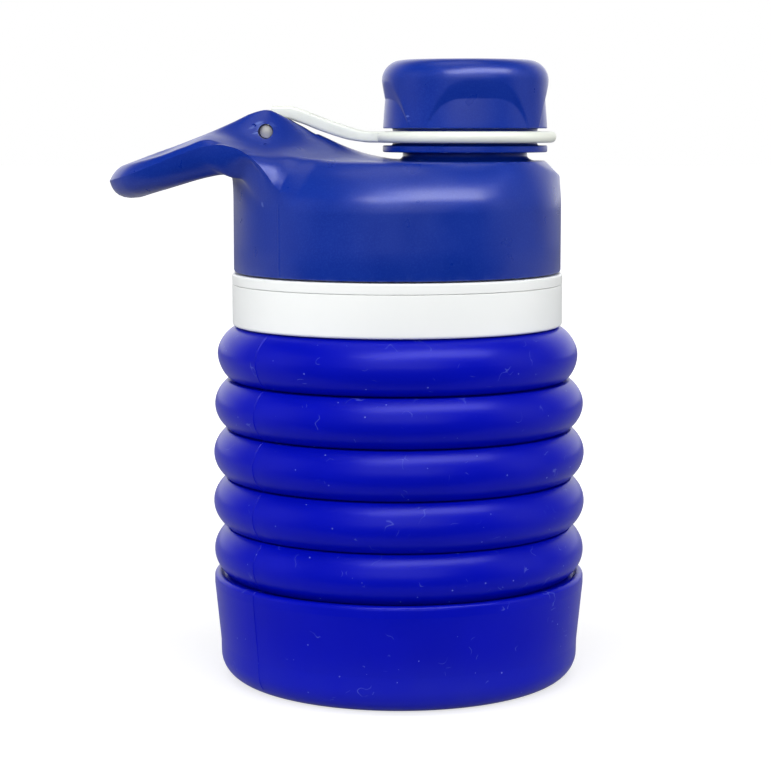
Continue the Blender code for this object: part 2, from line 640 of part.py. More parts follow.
def gasket(rubber, parts):
    inner = GASKET_RADIUS - GASKET_WIDTH
    top = GASKET_BOTTOM + GASKET_THICKNESS
    profile = [(GASKET_RADIUS, top), (GASKET_RADIUS, GASKET_BOTTOM), (inner, GASKET_BOTTOM)]
    profile.append((inner, top))
    return turned("lid_gasket", profile, rubber, parts)


def cap_profile():
    dome = CAP_TOP - CAP_WIDEST_HEIGHT
    outer = [(0.0, CAP_TOP), (CAP_RADIUS - CAP_TOP_ROUND, CAP_TOP)]
    outer += [(CAP_RADIUS - CAP_TOP_ROUND * 0.5, CAP_TOP - dome * 0.1)]
    outer += [(CAP_RADIUS - CAP_TOP_ROUND * 0.17, CAP_TOP - dome * 0.39)]
    outer += [(CAP_RADIUS - CAP_TOP_ROUND * 0.04, CAP_TOP - dome * 0.69)]
    outer += [(CAP_RADIUS, CAP_WIDEST_HEIGHT)]
    outer += [(CAP_SKIRT, CAP_SKIRT_BOTTOM + CAP_EDGE), (CAP_SKIRT - CAP_EDGE, CAP_SKIRT_BOTTOM)]
    flange_top = CAP_BASE + CAP_FLANGE
    outer += [(CAP_GROOVE_RADIUS, CAP_SKIRT_BOTTOM), (CAP_GROOVE_RADIUS, flange_top)]
    outer += [(CAP_SKIRT - CAP_EDGE, flange_top), (CAP_SKIRT, flange_top - CAP_EDGE)]
    outer += [(CAP_SKIRT, CAP_BASE + CAP_EDGE), (CAP_SKIRT - CAP_EDGE, CAP_BASE)]
    ceiling = SPOUT_TOP + CLEAR + SEAL_THICKNESS + CLEAR
    return outer + [(CAP_BORE, CAP_BASE), (CAP_BORE, ceiling), (0.0, ceiling)]


def scallop_cutter(index, cutters):
    # An arched thumb scallop: its floor deepens from the skirt up to the break, then runs out
    middle = index * 360.0 / SCALLOPS - SCALLOP_TURN
    span = CAP_WIDEST_HEIGHT - CAP_SKIRT_BOTTOM
    sections = []
    steps = 10
    for i in range(steps + 1):
        share = -1.0 + 2.0 * i / steps
        lower_arch = max(1.0 - abs(share) ** SCALLOP_BREAK_POWER, SCALLOP_LEAST_ARCH)
        upper_arch = max(1.0 - abs(share) ** SCALLOP_RISE_POWER, SCALLOP_LEAST_ARCH)
        angle = radians(middle + share * SCALLOP_HALF_ANGLE)
        low = CAP_SKIRT_BOTTOM - CAP_EDGE * 2.0
        bend = CAP_SKIRT_BOTTOM + span * SCALLOP_BREAK_SHARE * lower_arch
        high = CAP_SKIRT_BOTTOM + span * SCALLOP_RISE_SHARE * upper_arch
        floor = CAP_SKIRT - SCALLOP_DEPTH * lower_arch
        line = [(CAP_SKIRT + 0.05, low), (floor, bend), (CAP_RADIUS + 0.05, high)]
        line += [(CAP_RADIUS + OVERCUT, high), (CAP_RADIUS + OVERCUT, low)]
        sections.append([(SPOUT_X + r * cos(angle), r * sin(angle), z) for r, z in line])
    return loft(f"scallop_{index + 1}", sections, None, cutters)


def spout_cap(blue, parts, cutters):
    obj = turned("spout_cap", cap_profile(), blue, parts, closed=False, x=SPOUT_X, steps=SMALL_TURN_STEPS)
    for index in range(SCALLOPS):
        cut(obj, scallop_cutter(index, cutters))
    return obj


def cap_seal(rubber, parts):
    outer = CAP_BORE - CLEAR
    low = SPOUT_TOP + CLEAR
    top = low + SEAL_THICKNESS
    profile = [(outer, top), (outer, low), (outer - SEAL_WIDTH, low), (outer - SEAL_WIDTH, top)]
    return turned("cap_seal", profile, rubber, parts, x=SPOUT_X, steps=SMALL_TURN_STEPS)


def tether_ring(white, parts):
    inner = CAP_GROOVE_RADIUS + TETHER_RING_GAP
    half = TETHER_RING_HEIGHT / 2.0
    profile = arc(TETHER_RING_RADIUS - half, TETHER_LEVEL, half, 90.0, -90.0, 6)
    profile += [(inner, TETHER_LEVEL - half), (inner, TETHER_LEVEL + half)]
    return turned("tether_ring", profile, white, parts, x=SPOUT_X, steps=SMALL_TURN_STEPS)


def tether_strap(white, parts, cutters):
    # The strap's side outline: its middle line thickened, rising into the eye round the pin
    count = 13
    first = PIN_X + STRAP_START
    last = SPOUT_X - TETHER_RING_RADIUS - STRAP_GAP
    rise = PIN_Z + STRAP_RISE - TETHER_LEVEL
    line = []
    for i in range(count):
        share = i / (count - 1)
        line.append((first + (last - first) * share, TETHER_LEVEL + along(STRAP_SHARES, share) * rise))
    above = []
    below = []
    for i, (x, z) in enumerate(line):
        a = line[max(i - 1, 0)]
        b = line[min(i + 1, count - 1)]
        slope = atan2(b[1] - a[1], b[0] - a[0])
        half = STRAP_THICKNESS / 2.0
        above.append((x - half * sin(slope), z + half * cos(slope)))
        below.append((x + half * sin(slope), z - half * cos(slope)))
    above[-1] = (last, above[-1][1])
    below[-1] = (last, below[-1][1])
    inside = [p for p in below if hypot(p[0] - PIN_X, p[1] - PIN_Z) > EYE_RADIUS * 0.9]
    outline = above + inside[::-1] + [(first, PIN_Z + EYE_RADIUS * 0.6)]
    half_width = STRAP_WIDTH / 2.0
    obj = cross_rod("tether_strap", EYE_RADIUS, half_width, parts, white)
    cut(obj, side_plate("strap_run", outline, half_width, cutters), "UNION")
    cut(obj, cross_rod("eye_hole", PIN_RADIUS + PIN_CLEARANCE, STRAP_WIDTH, cutters))
    smooth_shade(obj)
    return obj


def main():
    for obj in list(bpy.data.objects):
        bpy.data.objects.remove(obj, do_unlink=True)
    parts = bpy.data.collections.new("collapsible_water_bottle")
    cutters = bpy.data.collections.new("cutters")
    bpy.context.scene.collection.children.link(parts)
    bpy.context.scene.collection.children.link(cutters)
    silicone = material("royal_blue_silicone", (0.0, 0.008, 0.45), 0.5)
    white = material("white_plastic", (0.86, 0.88, 0.88), 0.35)
    blue = material("navy_plastic", (0.006, 0.03, 0.27), 0.38)
    steel = material("brushed_steel", (0.62, 0.62, 0.6), 0.35, 1.0)
    clear = material("seal_silicone", (0.75, 0.77, 0.76), 0.5)
    base_cup(silicone, parts)
    for index in range(len(RING_RADII) - 1):
        bellows_ring(index, silicone, parts)
    shoulder_ring(silicone, parts)
    for index in range(len(RING_RADII)):
        fold(index, silicone, parts)
    collar(white, parts)
    neck_insert(white, parts)
    gasket(clear, parts)
    lid_shell(blue, parts, cutters)
    cross_rod("hinge_pin", PIN_RADIUS, PIN_HALF_LENGTH, parts, steel)
    tether_strap(white, parts, cutters)
    tether_ring(white, parts)
    spout_cap(blue, parts, cutters)
    cap_seal(clear, parts)


main()
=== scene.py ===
# Collapsible silicone bottle, folded short: royal blue bellows, white collar, navy screw lid with a
# loop handle, small tethered spout cap. Sizes in the dictionaries are millimetres unless noted.
from math import acos, asin, atan2, ceil, cos, degrees, hypot, pi, radians, sin, sqrt, tan

import bmesh
import bpy
from mathutils import Matrix, Vector


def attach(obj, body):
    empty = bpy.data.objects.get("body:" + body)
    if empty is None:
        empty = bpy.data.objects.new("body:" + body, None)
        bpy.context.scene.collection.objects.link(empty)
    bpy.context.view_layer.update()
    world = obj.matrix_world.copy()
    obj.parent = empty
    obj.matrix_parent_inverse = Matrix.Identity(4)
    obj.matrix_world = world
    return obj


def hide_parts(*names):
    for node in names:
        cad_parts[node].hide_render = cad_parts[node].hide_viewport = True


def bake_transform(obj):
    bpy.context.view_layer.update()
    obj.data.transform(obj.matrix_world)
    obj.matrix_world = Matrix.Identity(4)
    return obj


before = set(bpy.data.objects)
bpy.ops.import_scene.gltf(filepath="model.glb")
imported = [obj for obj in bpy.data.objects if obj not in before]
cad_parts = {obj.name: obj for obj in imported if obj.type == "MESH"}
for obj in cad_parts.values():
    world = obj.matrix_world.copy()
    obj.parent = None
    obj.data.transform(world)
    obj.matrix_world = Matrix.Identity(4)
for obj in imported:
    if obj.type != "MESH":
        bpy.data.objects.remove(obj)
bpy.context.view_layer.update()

mm = 0.001
scene = bpy.context.scene


def srgb(hexColour):
    # sRGB hex to the linear values the shaders take
    parts = [int(hexColour[i:i + 2], 16) / 255 for i in (1, 3, 5)]
    return [*(p / 12.92 if p <= 0.04045 else ((p + 0.055) / 1.055) ** 2.4 for p in parts), 1]


def addNode(tree, kind, settings=None, inputs=None):
    node = tree.nodes.new("ShaderNode" + kind)
    for name, value in (settings or {}).items():
        setattr(node, name, value)
    for name, value in (inputs or {}).items():
        if isinstance(value, bpy.types.NodeSocket):
            tree.links.new(value, node.inputs[name])
        else:
            node.inputs[name].default_value = value
    return node


def newFinish(name, values):
    # A material with plain values on the shader's own sockets, and the object's own coordinates
    made = bpy.data.materials.new(name)
    made.use_nodes = True
    tree = made.node_tree
    shader = tree.nodes["Principled BSDF"]
    for socket, value in values.items():
        shader.inputs[socket].default_value = value
    return made, tree, shader, addNode(tree, "TexCoord").outputs["Object"]


def addNoise(tree, place, size, detail, distortion=0):
    # Cloud noise; size is its cell in millimetres
    return addNode(tree, "TexNoise", None, {
        "Vector": place, "Scale": 1000 / size, "Detail": detail,
        "Distortion": distortion}).outputs["Fac"]


def addRange(tree, value, span, low=0, high=1, soft=False):
    # Lays the value's span (start, end) on low to high
    kind = {"interpolation_type": "SMOOTHSTEP" if soft else "LINEAR"}
    return addNode(tree, "MapRange", kind, {
        "Value": value, "From Min": span[0], "From Max": span[1],
        "To Min": low, "To Max": high}).outputs[0]


def addMath(tree, operation, *values):
    # Takes two values or more; from the third on, each joins the result so far
    result = values[0]
    for value in values[1:]:
        result = addNode(tree, "Math", {"operation": operation}, {0: result, 1: value}).outputs[0]
    return result


def mixColours(tree, share, first, second):
    # The colours are hex text or sockets
    first, second = (srgb(c) if isinstance(c, str) else c for c in (first, second))
    return addNode(tree, "Mix", {"data_type": "RGBA"}, {0: share, 6: first, 7: second}).outputs[2]


def dress(shader, colour, height=None, depth=0):
    # Links the colour, and where there is a height, a bump of that depth (mm)
    tree = shader.id_data
    tree.links.new(colour, shader.inputs["Base Color"])
    if height:
        bump = addNode(tree, "Bump", None, {
            "Height": height, "Distance": depth * mm, "Strength": 1})
        tree.links.new(bump.outputs[0], shader.inputs["Normal"])


def objectOf(name, data):
    made = bpy.data.objects.new(name, data)
    scene.collection.objects.link(made)
    return made


def meshOf(name, shape):
    mesh = bpy.data.meshes.new(name)
    shape.to_mesh(mesh)
    shape.free()
    return mesh


def shift(shape, x=0, y=0, z=0, verts=None):
    bmesh.ops.translate(shape, verts=verts or shape.verts[:], vec=(x * mm, y * mm, z * mm))


def roundOff(shape, geom, offset, segments, affect="EDGES"):
    # The offset is in metres
    bmesh.ops.bevel(shape, geom=geom, offset=offset, offset_type="OFFSET", segments=segments,
                    profile=0.5, affect=affect, material=-1)


def facedOut(shape):
    bmesh.ops.recalc_face_normals(shape, faces=shape.faces[:])
    return shape


def welded(shape):
    bmesh.ops.remove_doubles(shape, verts=shape.verts[:], dist=1e-6)
    return facedOut(shape)


def pushOut(shape, faces, y=0, z=0):
    pushed = bmesh.ops.extrude_face_region(shape, geom=faces)["geom"]
    shift(shape, 0, y, z, [vert for vert in pushed if isinstance(vert, bmesh.types.BMVert)])
    return facedOut(shape)


def makeBar(radius, length, sides, place):
    shape = bmesh.new()
    bmesh.ops.create_cone(shape, cap_ends=True, segments=sides, radius1=radius * mm,
                          radius2=radius * mm, depth=length * mm, matrix=place)
    return shape


def wireOf(corners, closed=True, centre=0):
    # Corners are (radius, height, rounding); the wire stands in the XZ plane
    shape = bmesh.new()
    points = [shape.verts.new(((centre + r) * mm, 0, z * mm)) for r, z, rounding in corners]
    for a, b in zip(points, points[1:] + points[:1] if closed else points[1:]):
        shape.edges.new((a, b))
    for point, (r, z, rounding) in zip(points, corners):
        if rounding:
            sides = [edge.other_vert(point).co - point.co for edge in point.link_edges]
            between = sides[0].angle(sides[1])
            roundOff(shape, [point], rounding * mm / tan(between / 2),
                     max(3, round(degrees(pi - between) / 6)), "VERTICES")
    return shape


def splitLong(shape, edges, longest):
    # Cuts a wire's long edges so that the surface can bend between them
    for edge in edges:
        cuts = ceil(edge.calc_length() / (longest * mm)) - 1
        if cuts > 0:
            bmesh.ops.subdivide_edges(shape, edges=[edge], cuts=cuts)


def spin(shape, geom, steps, angle, merge, centre=0, rise=0):
    bmesh.ops.spin(shape, geom=geom, cent=(centre * mm, 0, 0), axis=(0, 0, 1), angle=angle,
                   dvec=(0, 0, rise * mm), steps=steps, use_merge=merge, use_duplicate=False)


def turnWire(shape, steps, centre=0, start=0):
    # Spins the wire right round; start is the azimuth of its first column (degrees)
    spin(shape, shape.verts[:] + shape.edges[:], steps, 2 * pi, True, centre)
    bmesh.ops.rotate(welded(shape), verts=shape.verts[:], cent=(centre * mm, 0, 0),
                     matrix=Matrix.Rotation(radians(start), 3, "Z"))
    return shape


def addPiece(name, shape, finishName, body, node, sharp=35):
    finish, slotName = finishes[finishName]
    mesh = meshOf(name, shape)
    mesh.shade_smooth()
    mesh.set_sharp_from_angle(angle=radians(sharp))
    mesh.materials.append(finish)
    piece = objectOf(name, mesh)
    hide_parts(node)
    if body:
        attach(piece, body)
    print("piece", name, len(mesh.polygons), "faces")
    return piece


def addBand(name, radii, heights, rounding, finishName, body, node, centre=0, steps=144):
    # A round band; its corners go inner low, outer low, outer high, inner high
    (inner, outer), (low, high) = radii, heights
    corners = list(zip((inner, outer, outer, inner), (low, low, high, high), rounding))
    shape = turnWire(wireOf(corners, centre=centre), steps, centre=centre)
    addPiece(name, shape, finishName, body, node)


def combine(shape, others):
    # Booleans on a piece: others are (bmesh, operation) pairs
    used = [objectOf("booleanMain", meshOf("booleanMain", shape))]
    for other, operation in others:
        used.append(objectOf("booleanTool", meshOf("booleanTool", other)))
        boolean = used[0].modifiers.new("cut", "BOOLEAN")
        boolean.operation = operation
        boolean.solver = "EXACT"
        boolean.object = used[-1]
    result = bmesh.new()
    result.from_object(used[0], bpy.context.evaluated_depsgraph_get())
    for item in used:
        mesh = item.data
        bpy.data.objects.remove(item, do_unlink=True)
        bpy.data.meshes.remove(mesh)
    bmesh.ops.remove_doubles(result, verts=result.verts[:], dist=2e-6)
    # Slivers at a cut's rim can close onto themselves: both faces of such a pair go
    bmesh.ops.triangulate(result, faces=[face for face in result.faces if len(face.verts) > 3])
    pairs = {}
    for face in result.faces:
        pairs.setdefault(frozenset(vert.index for vert in face.verts), []).append(face)
    doubled = [face for pair in pairs.values() if len(pair) > 1 for face in pair]
    bmesh.ops.delete(result, geom=doubled, context="FACES")
    return result


def smooth(value):
    t = min(max(value, 0), 1)
    return t * t * (3 - 2 * t)


def along(keys, x):
    # A smooth curve through a few (x, value) keys that never overshoots them
    if x <= keys[0][0]:
        return keys[0][1]
    if x >= keys[-1][0]:
        return keys[-1][1]
    slopes = [(b[1] - a[1]) / (b[0] - a[0]) for a, b in zip(keys, keys[1:])]
    tangents = [slopes[0]]
    for before, after in zip(slopes, slopes[1:]):
        tangents.append(0 if before * after <= 0 else 2 * before * after / (before + after))
    tangents.append(slopes[-1])
    i = max(k for k in range(len(slopes)) if keys[k][0] <= x)
    width = keys[i + 1][0] - keys[i][0]
    t = (x - keys[i][0]) / width
    start = (1 + 2 * t) * (1 - t) ** 2 * keys[i][1] + t * (1 - t) ** 2 * width * tangents[i]
    end = t * t * (3 - 2 * t) * keys[i + 1][1] + t * t * (t - 1) * width * tangents[i + 1]
    return start + end


view = {
    "place": (-0.0025, -0.466, 0.1183),  # metres, from the perspective of the ring creases
    "tiltDown": 6.8,  # degrees
    "lens": 101.6,
}
camera = objectOf("camera", bpy.data.cameras.new("camera"))
camera.location = view["place"]
camera.rotation_euler = (radians(90 - view["tiltDown"]), 0, 0)
camera.data.lens = view["lens"]
camera.data.clip_start = 0.01
scene.camera = camera
scene.view_settings.view_transform = "Standard"

studio = {
    "floorSize": 6,  # metres
    "floorFront": -0.085,  # the paper ends just outside the view, so the front stays dark
    "floorColour": "#B4B4B4",
    "glowNear": 0.66,  # added where the paper is seen, so that it reads white
    "glowFar": 1,
    "glowSpan": (0.08, 0.35),  # distances (metres) where the glow is near and far
    "glowInGloss": 0.15,  # the share of it that the bottle's gloss shows
    # Brightness of the surround, as the gloss shows it, and where along its direction it changes
    "roomSides": 0.28,
    "roomBack": 1.6, "backSpan": (0.35, 0.95),
    "roomAbove": 0.1, "aboveSpan": (0.38, 0.85),
    "roomBelow": 0.1, "belowSpan": (-0.35, -0.05),
    "opening": (0.44, -0.89, -0.1),  # the dark side that the camera looks in from
    "inOpening": 0.05, "openingSpan": (0.62, 0.9),
    "ambient": 0.25,
    "aim": (0, 0, 0.075),
    # Place and size (metres), power (watts), and the kind of shading that it shows in
    "lamps": {
        "frontStrip": ((0.06, -0.14, 0.28), (0.33, 0.09), 1, "gloss"),
        "frontLow": ((0.12, -0.78, 0.44), (1, 0.4), 0.6, "gloss"),
        "overhead": ((-0.08, 0.16, 0.98), (0.5, 0.38), 0.7, "gloss"),
        "topFill": ((0, -0.15, 0.98), (0.8, 0.6), 3, "diffuse"),
        "frontFill": ((0, -0.85, 0.42), (0.9, 0.6), 6.9, "diffuse"),
        "leftFill": ((-0.95, -0.15, 0.35), (0.6, 0.8), 5.2, "diffuse"),
        "rightFill": ((0.95, -0.1, 0.35), (0.6, 0.8), 3.9, "diffuse"),
    },
}


def anyRay(tree, *kinds):
    # One where the ray is of any of these kinds
    paths = addNode(tree, "LightPath").outputs
    return addMath(tree, "MAXIMUM", *(paths[kind] for kind in kinds))


def paperFinish():
    # Matt white background paper: plain diffuse, brought to white for the camera and reflections
    s = studio
    made, tree, shader, place = newFinish("mattBackgroundPaper", {
        "Base Color": srgb(s["floorColour"]), "Roughness": 0.9, "Specular IOR Level": 0.1,
        "Emission Color": (1, 1, 1, 1)})
    away = addNode(tree, "VectorMath", {"operation": "LENGTH"}, {0: place}).outputs["Value"]
    level = addRange(tree, away, s["glowSpan"], s["glowNear"], s["glowFar"], True)
    mirrored = anyRay(tree, "Is Glossy Ray", "Is Transmission Ray")
    seen = addMath(tree, "MAXIMUM", anyRay(tree, "Is Camera Ray"),
                   addMath(tree, "MULTIPLY", mirrored, s["glowInGloss"]))
    tree.links.new(addMath(tree, "MULTIPLY", seen, level), shader.inputs["Emission Strength"])
    return made


def makeWorld():
    # A white surround as the camera sees it; in reflections it darkens towards the front
    s = studio
    world = bpy.data.worlds.new("studioWorld")
    world.use_nodes = True
    scene.world = world
    tree = world.node_tree
    way = addNode(tree, "TexCoord").outputs["Generated"]
    parts = addNode(tree, "SeparateXYZ", None, {0: way}).outputs
    ahead = addNode(tree, "VectorMath", {"operation": "DOT_PRODUCT"},
                    {0: way, 1: Vector(s["opening"]).normalized()}).outputs["Value"]
    walls = addMath(tree, "MULTIPLY", *(addRange(tree, *values, True) for values in (
        (parts["Y"], s["backSpan"], s["roomSides"], s["roomBack"]),
        (parts["Z"], s["aboveSpan"], 1, s["roomAbove"]),
        (parts["Z"], s["belowSpan"], s["roomBelow"], 1),
        (ahead, s["openingSpan"], 1, s["inOpening"]))))
    room = addNode(tree, "Mix", None,
                   {0: anyRay(tree, "Is Glossy Ray"), 2: s["ambient"], 3: walls}).outputs[0]
    plain, white = (addNode(tree, "Background", None, {"Color": (1, 1, 1, 1), "Strength": strength})
                    for strength in (room, 1))
    mix = addNode(tree, "MixShader", None,
                  {0: anyRay(tree, "Is Camera Ray", "Is Transmission Ray"), 1: plain.outputs[0],
                   2: white.outputs[0]})
    tree.links.new(mix.outputs[0], tree.nodes["World Output"].inputs["Surface"])


def makeStudio():
    sheet = bmesh.new()
    half = studio["floorSize"] / 2
    bmesh.ops.create_grid(sheet, x_segments=1, y_segments=1, size=half)
    bmesh.ops.translate(sheet, verts=sheet.verts[:], vec=(0, half + studio["floorFront"], 0))
    floor = objectOf("floorSheet", meshOf("floorSheet", sheet))
    floor.data.materials.append(paperFinish())
    makeWorld()
    for name, (place, size, power, shownIn) in studio["lamps"].items():
        data = bpy.data.lights.new(name, "AREA")
        data.shape = "RECTANGLE"
        data.size, data.size_y = size
        data.energy = power
        lamp = objectOf(name, data)
        lamp.location = place
        aim = Vector(studio["aim"]) - lamp.location
        lamp.rotation_euler = aim.to_track_quat("-Z", "Y").to_euler()
        lamp.visible_camera = False
        lamp.visible_glossy = shownIn != "diffuse"
        lamp.visible_diffuse = shownIn != "gloss"
    print("studio ready")


makeStudio()


silicone = {
    "colour": "#000AAE",
    "deep": "#00089E",
    "dust": "#7888D8",
    "roughness": 0.3,
    "speckCell": 2.9,  # mean distance between dust specks
    "speckSize": 0.17,
    "speckShare": (0.25, 0.9),
    "lintWidth": 0.006, "lintShare": 0.22,
    "haze": 0.07,
    "grain": 0.35,  # the fine orange peel of a sand-blasted mould, drawn coarser than real
    "grainDepth": 0.009,
}


def siliconeFinish():
    # Moulded silicone rubber: even, saturated and waxy, with dust that clings to it
    s = silicone
    made, tree, shader, place = newFinish("mouldedSilicone", {
        "Roughness": s["roughness"], "IOR": 1.41, "Specular IOR Level": 0.16})
    cloud = addNoise(tree, place, 14, 3)
    cells = addNode(tree, "TexVoronoi", None, {"Vector": place, "Scale": 1000 / s["speckCell"]})
    inSpeck = addMath(tree, "LESS_THAN", cells.outputs["Distance"], s["speckSize"] / s["speckCell"])
    specks = addMath(tree, "MULTIPLY", inSpeck,
                     addRange(tree, cloud, (0.35, 0.8), *s["speckShare"]))
    # Lint: thin curved hairs, where a smooth noise crosses its middle, in a few patches only
    hairs = addNode(tree, "Math", {"operation": "COMPARE"},
                    {0: addNoise(tree, place, 4, 1), 1: 0.5, 2: s["lintWidth"]}).outputs[0]
    patches = addRange(tree, addNoise(tree, place, 4.5, 0, 1), (0.68, 0.74), 0,
                       s["lintShare"])
    lint = addMath(tree, "MULTIPLY", hairs, patches)
    # A haze of fine dust near the foot, where the bottle stands on tables
    height = addNode(tree, "SeparateXYZ", None, {0: place}).outputs["Z"]
    haze = addRange(tree, height, (0.001, 0.014), s["haze"], 0, True)
    haze = addMath(tree, "MULTIPLY", haze, cloud)
    dust = addMath(tree, "MAXIMUM", specks, lint, haze)
    dusty = mixColours(tree, dust, mixColours(tree, cloud, s["colour"], s["deep"]), s["dust"])
    dress(shader, dusty, addNoise(tree, place, s["grain"], 2), s["grainDepth"])
    return made


plastic = {
    "navy": "#00268A",
    "navyWorn": "#002E98",
    # Sharp edges: partly scuffing, partly a painted highlight along them
    "scuffAndEdgeGlint": "#6C82C8", "scuffAndGlintShare": 0.55,
    "white": "#ECEEED",
    "whiteOld": "#E8EBEA",
    "tether": "#E4E8DE",  # the soft tether is a little greener
    "tetherOld": "#DEE2D8",
    "grain": 0.32,
    # Painted highlight on the grain's peaks
    "grainGlint": "#2E50B0",
    "grainGlintShare": 0.2,
    "grainDepth": 0.006,
}


def navyFinish():
    # Moulded ABS with a fine spark-eroded grain: satin, with soft wide highlights
    p = plastic
    made, tree, shader, place = newFinish("mouldedAbs", {"IOR": 1.5, "Specular IOR Level": 0.38})
    cloud = addNoise(tree, place, 6, 4)
    share = addRange(tree, cloud, (0.4, 0.75), 0, 0.25)
    rough = addRange(tree, cloud, (0.3, 0.7), 0.27, 0.34)
    tree.links.new(rough, shader.inputs["Roughness"])
    # Sharp edges are painted a little lighter, in patches: partly scuffs, partly a painted
    # highlight along the edges
    pointed = addNode(tree, "NewGeometry").outputs["Pointiness"]
    edges = addRange(tree, pointed, (0.53, 0.6), 0, p["scuffAndGlintShare"])
    scuffAndGlintMask = addMath(tree, "MULTIPLY", edges,
                     addRange(tree, addNoise(tree, place, 2.5, 3), (0.42, 0.6)))
    navy = mixColours(tree, share, p["navy"], p["navyWorn"])
    scuffAndEdgeGlint = mixColours(tree, scuffAndGlintMask, navy, p["scuffAndEdgeGlint"])
    # Painted highlight: the grain's peaks are painted paler, as if they caught the light
    grain = addNoise(tree, place, p["grain"], 2)
    grainGlintMask = addRange(tree, grain, (0.45, 0.75), 0, p["grainGlintShare"])
    dress(shader, mixColours(tree, grainGlintMask, scuffAndEdgeGlint, p["grainGlint"]), grain, p["grainDepth"])
    return made


def whiteFinish(name, roughness, first, second):
    # Moulded white plastic: even, satin
    p = plastic
    made, tree, shader, place = newFinish(name, {"Roughness": roughness, "Specular IOR Level": 0.4})
    colour = mixColours(tree, addNoise(tree, place, 9, 3), first, second)
    dress(shader, colour, addNoise(tree, place, 0.4, 2), p["grainDepth"])
    return made


def steelFinish():
    # Drawn stainless pin, its ends faced on a lathe: grey metal, unevenly dull
    made, tree, shader, place = newFinish("brushedSteel", {
        "Base Color": srgb("#CDCDC9"), "Metallic": 0.55})
    rough = addRange(tree, addNoise(tree, place, 0.25, 3), (0, 1), 0.26, 0.46)
    tree.links.new(rough, shader.inputs["Roughness"])
    return made


def sealFinish():
    # Translucent silicone seal: milky and soft
    made, tree, shader, place = newFinish("clearSealSilicone", {
        "Roughness": 0.45, "Specular IOR Level": 0.35, "Subsurface Weight": 0.2,
        "Subsurface Scale": 0.002})
    colour = mixColours(tree, addNoise(tree, place, 5, 2), "#E0E3E2", "#D4D9D8")
    dress(shader, colour)
    return made


# Each finish with the name of its slot, which nothing here uses
finishes = {
    "body": (siliconeFinish(), "body_silicone"),
    "navy": (navyFinish(), "lid_plastic"),
    "white": (whiteFinish("mouldedWhitePlastic", 0.38, plastic["white"], plastic["whiteOld"]),
              "white_plastic"),
    "tether": (whiteFinish("softWhiteTpe", 0.48, plastic["tether"], plastic["tetherOld"]),
               "white_plastic"),
    "steel": (steelFinish(), "pin_steel"),
    "seal": (sealFinish(), "seal_silicone"),
}
print("finishes ready")


bellows = {
    "radii": (39.6, 39.7, 39.6, 39.3, 38.6),
    "firstHeight": 27.8,
    "pitch": 10.5,
    "arcRadius": 6.5,
    "arcEnd": 51.5,  # degrees either side of a ring's middle
    "wall": 2.2,
    "lipGap": 0.17,  # half the gap in a closed crease
    "lipRound": 0.35,
    "rootDepth": 7.6,  # a web's nose lies this far in from its ring's lip
    "webNose": 1.54,
    "travel": 9.5,  # how far each fold opens
    "steps": 180,
    "seam": -139,  # azimuth of the parting line
    "seamWidth": 0.26,
    "seamHeight": 0.12,
    "lean": 0.4,  # the soft body stands a little towards the spout under its neck
    "leanStart": 60, "leanSpan": 14,
}
base = {
    "lipRadius": 39.9, "lipHeight": 22.9, "lipRound": 0.95, "crestIn": 1.3,
    "footRadius": 38.5, "edgeRadius": 5.4, "floor": 4, "inside": 35.1, "insideRound": 3,
    "grooveInner": 22.5, "grooveOuter": 26.5, "grooveDepth": 0.7, "seamInner": 37.5,
}


arc = bellows["arcRadius"]
arcInner = arc - bellows["wall"]
arcEnd = radians(bellows["arcEnd"])
lipHeight = bellows["pitch"] / 2 - bellows["lipGap"]
cutHeight = arcInner * sin(arcEnd)


def ringLips(radius):
    # A ring's arc centre, and the radii of its outer lip and of the cut where its web starts
    centre = radius - arc
    return centre, centre + arc * cos(arcEnd), centre + arcInner * cos(arcEnd)


def seamOn(shape, inner):
    # The mould's parting line: a fine raised seam down both sides, outside the inner radius
    b = bellows
    column = 360 / b["steps"]
    shape.normal_update()
    moves = []
    for vert in shape.verts:
        out = Vector(vert.co.xy)
        if out.length < inner * mm:
            continue
        turn = degrees(atan2(out.y, out.x))
        for azimuth in (b["seam"], b["seam"] + 180):
            off = (turn - azimuth + 180) % 360 - 180
            if abs(off) < column * 0.1:
                moves.append((vert, vert.co + vert.normal * b["seamHeight"] * mm))
            elif abs(abs(off) - column) < column * 0.1:
                back = off - degrees(b["seamWidth"] / 2 * mm / out.length) * (1 if off > 0 else -1)
                moved = Matrix.Rotation(radians(-back), 2) @ out
                moves.append((vert, Vector((*moved, vert.co.z))))
    for vert, place in moves:
        vert.co = place


def leanOver(shape):
    b = bellows
    for vert in shape.verts:
        up = smooth((vert.co.z / mm - b["leanStart"]) / b["leanSpan"])
        vert.co.x += b["lean"] * mm * (1 - up)


def addMoulding(name, corners, closed, inner, body, node):
    # One ring of the silicone body, with its parting line outside the inner radius
    shape = turnWire(wireOf(corners, closed), bellows["steps"], start=bellows["seam"])
    seamOn(shape, inner)
    leanOver(shape)
    addPiece(name, shape, "body", body, node)


def makeBase():
    crease = bellows["firstHeight"] - bellows["pitch"] / 2
    centre, lip, cut = ringLips(bellows["radii"][0])
    seat = crease - bellows["lipGap"]
    b = base
    edge, crest, top = b["lipRadius"], b["lipRadius"] - b["crestIn"], b["lipHeight"]
    deep = b["grooveDepth"]
    corners = [
        (0, b["floor"], 0), (b["inside"], b["floor"], b["insideRound"]),
        (b["inside"] + 0.2, 14, 0), (cut, 18.7, 1), (cut, seat, 0), (lip + 0.2, seat, 0.3),
        (crest - 0.7, seat - 0.1, 0.3), (crest, top, 0.35), (edge, top, b["lipRound"]),
        (edge, top - 2.4, 3), (b["footRadius"] + 0.15, 8, 4),
        (b["footRadius"], 0, b["edgeRadius"]), (b["grooveOuter"], 0, 0.3),
        (b["grooveOuter"] - deep, deep, 0.3), (b["grooveInner"] + deep, deep, 0.3),
        (b["grooveInner"], 0, 0.3), (0, 0, 0),
    ]
    addMoulding("base_cup_skin", corners, False, b["seamInner"], "base", "base_cup")


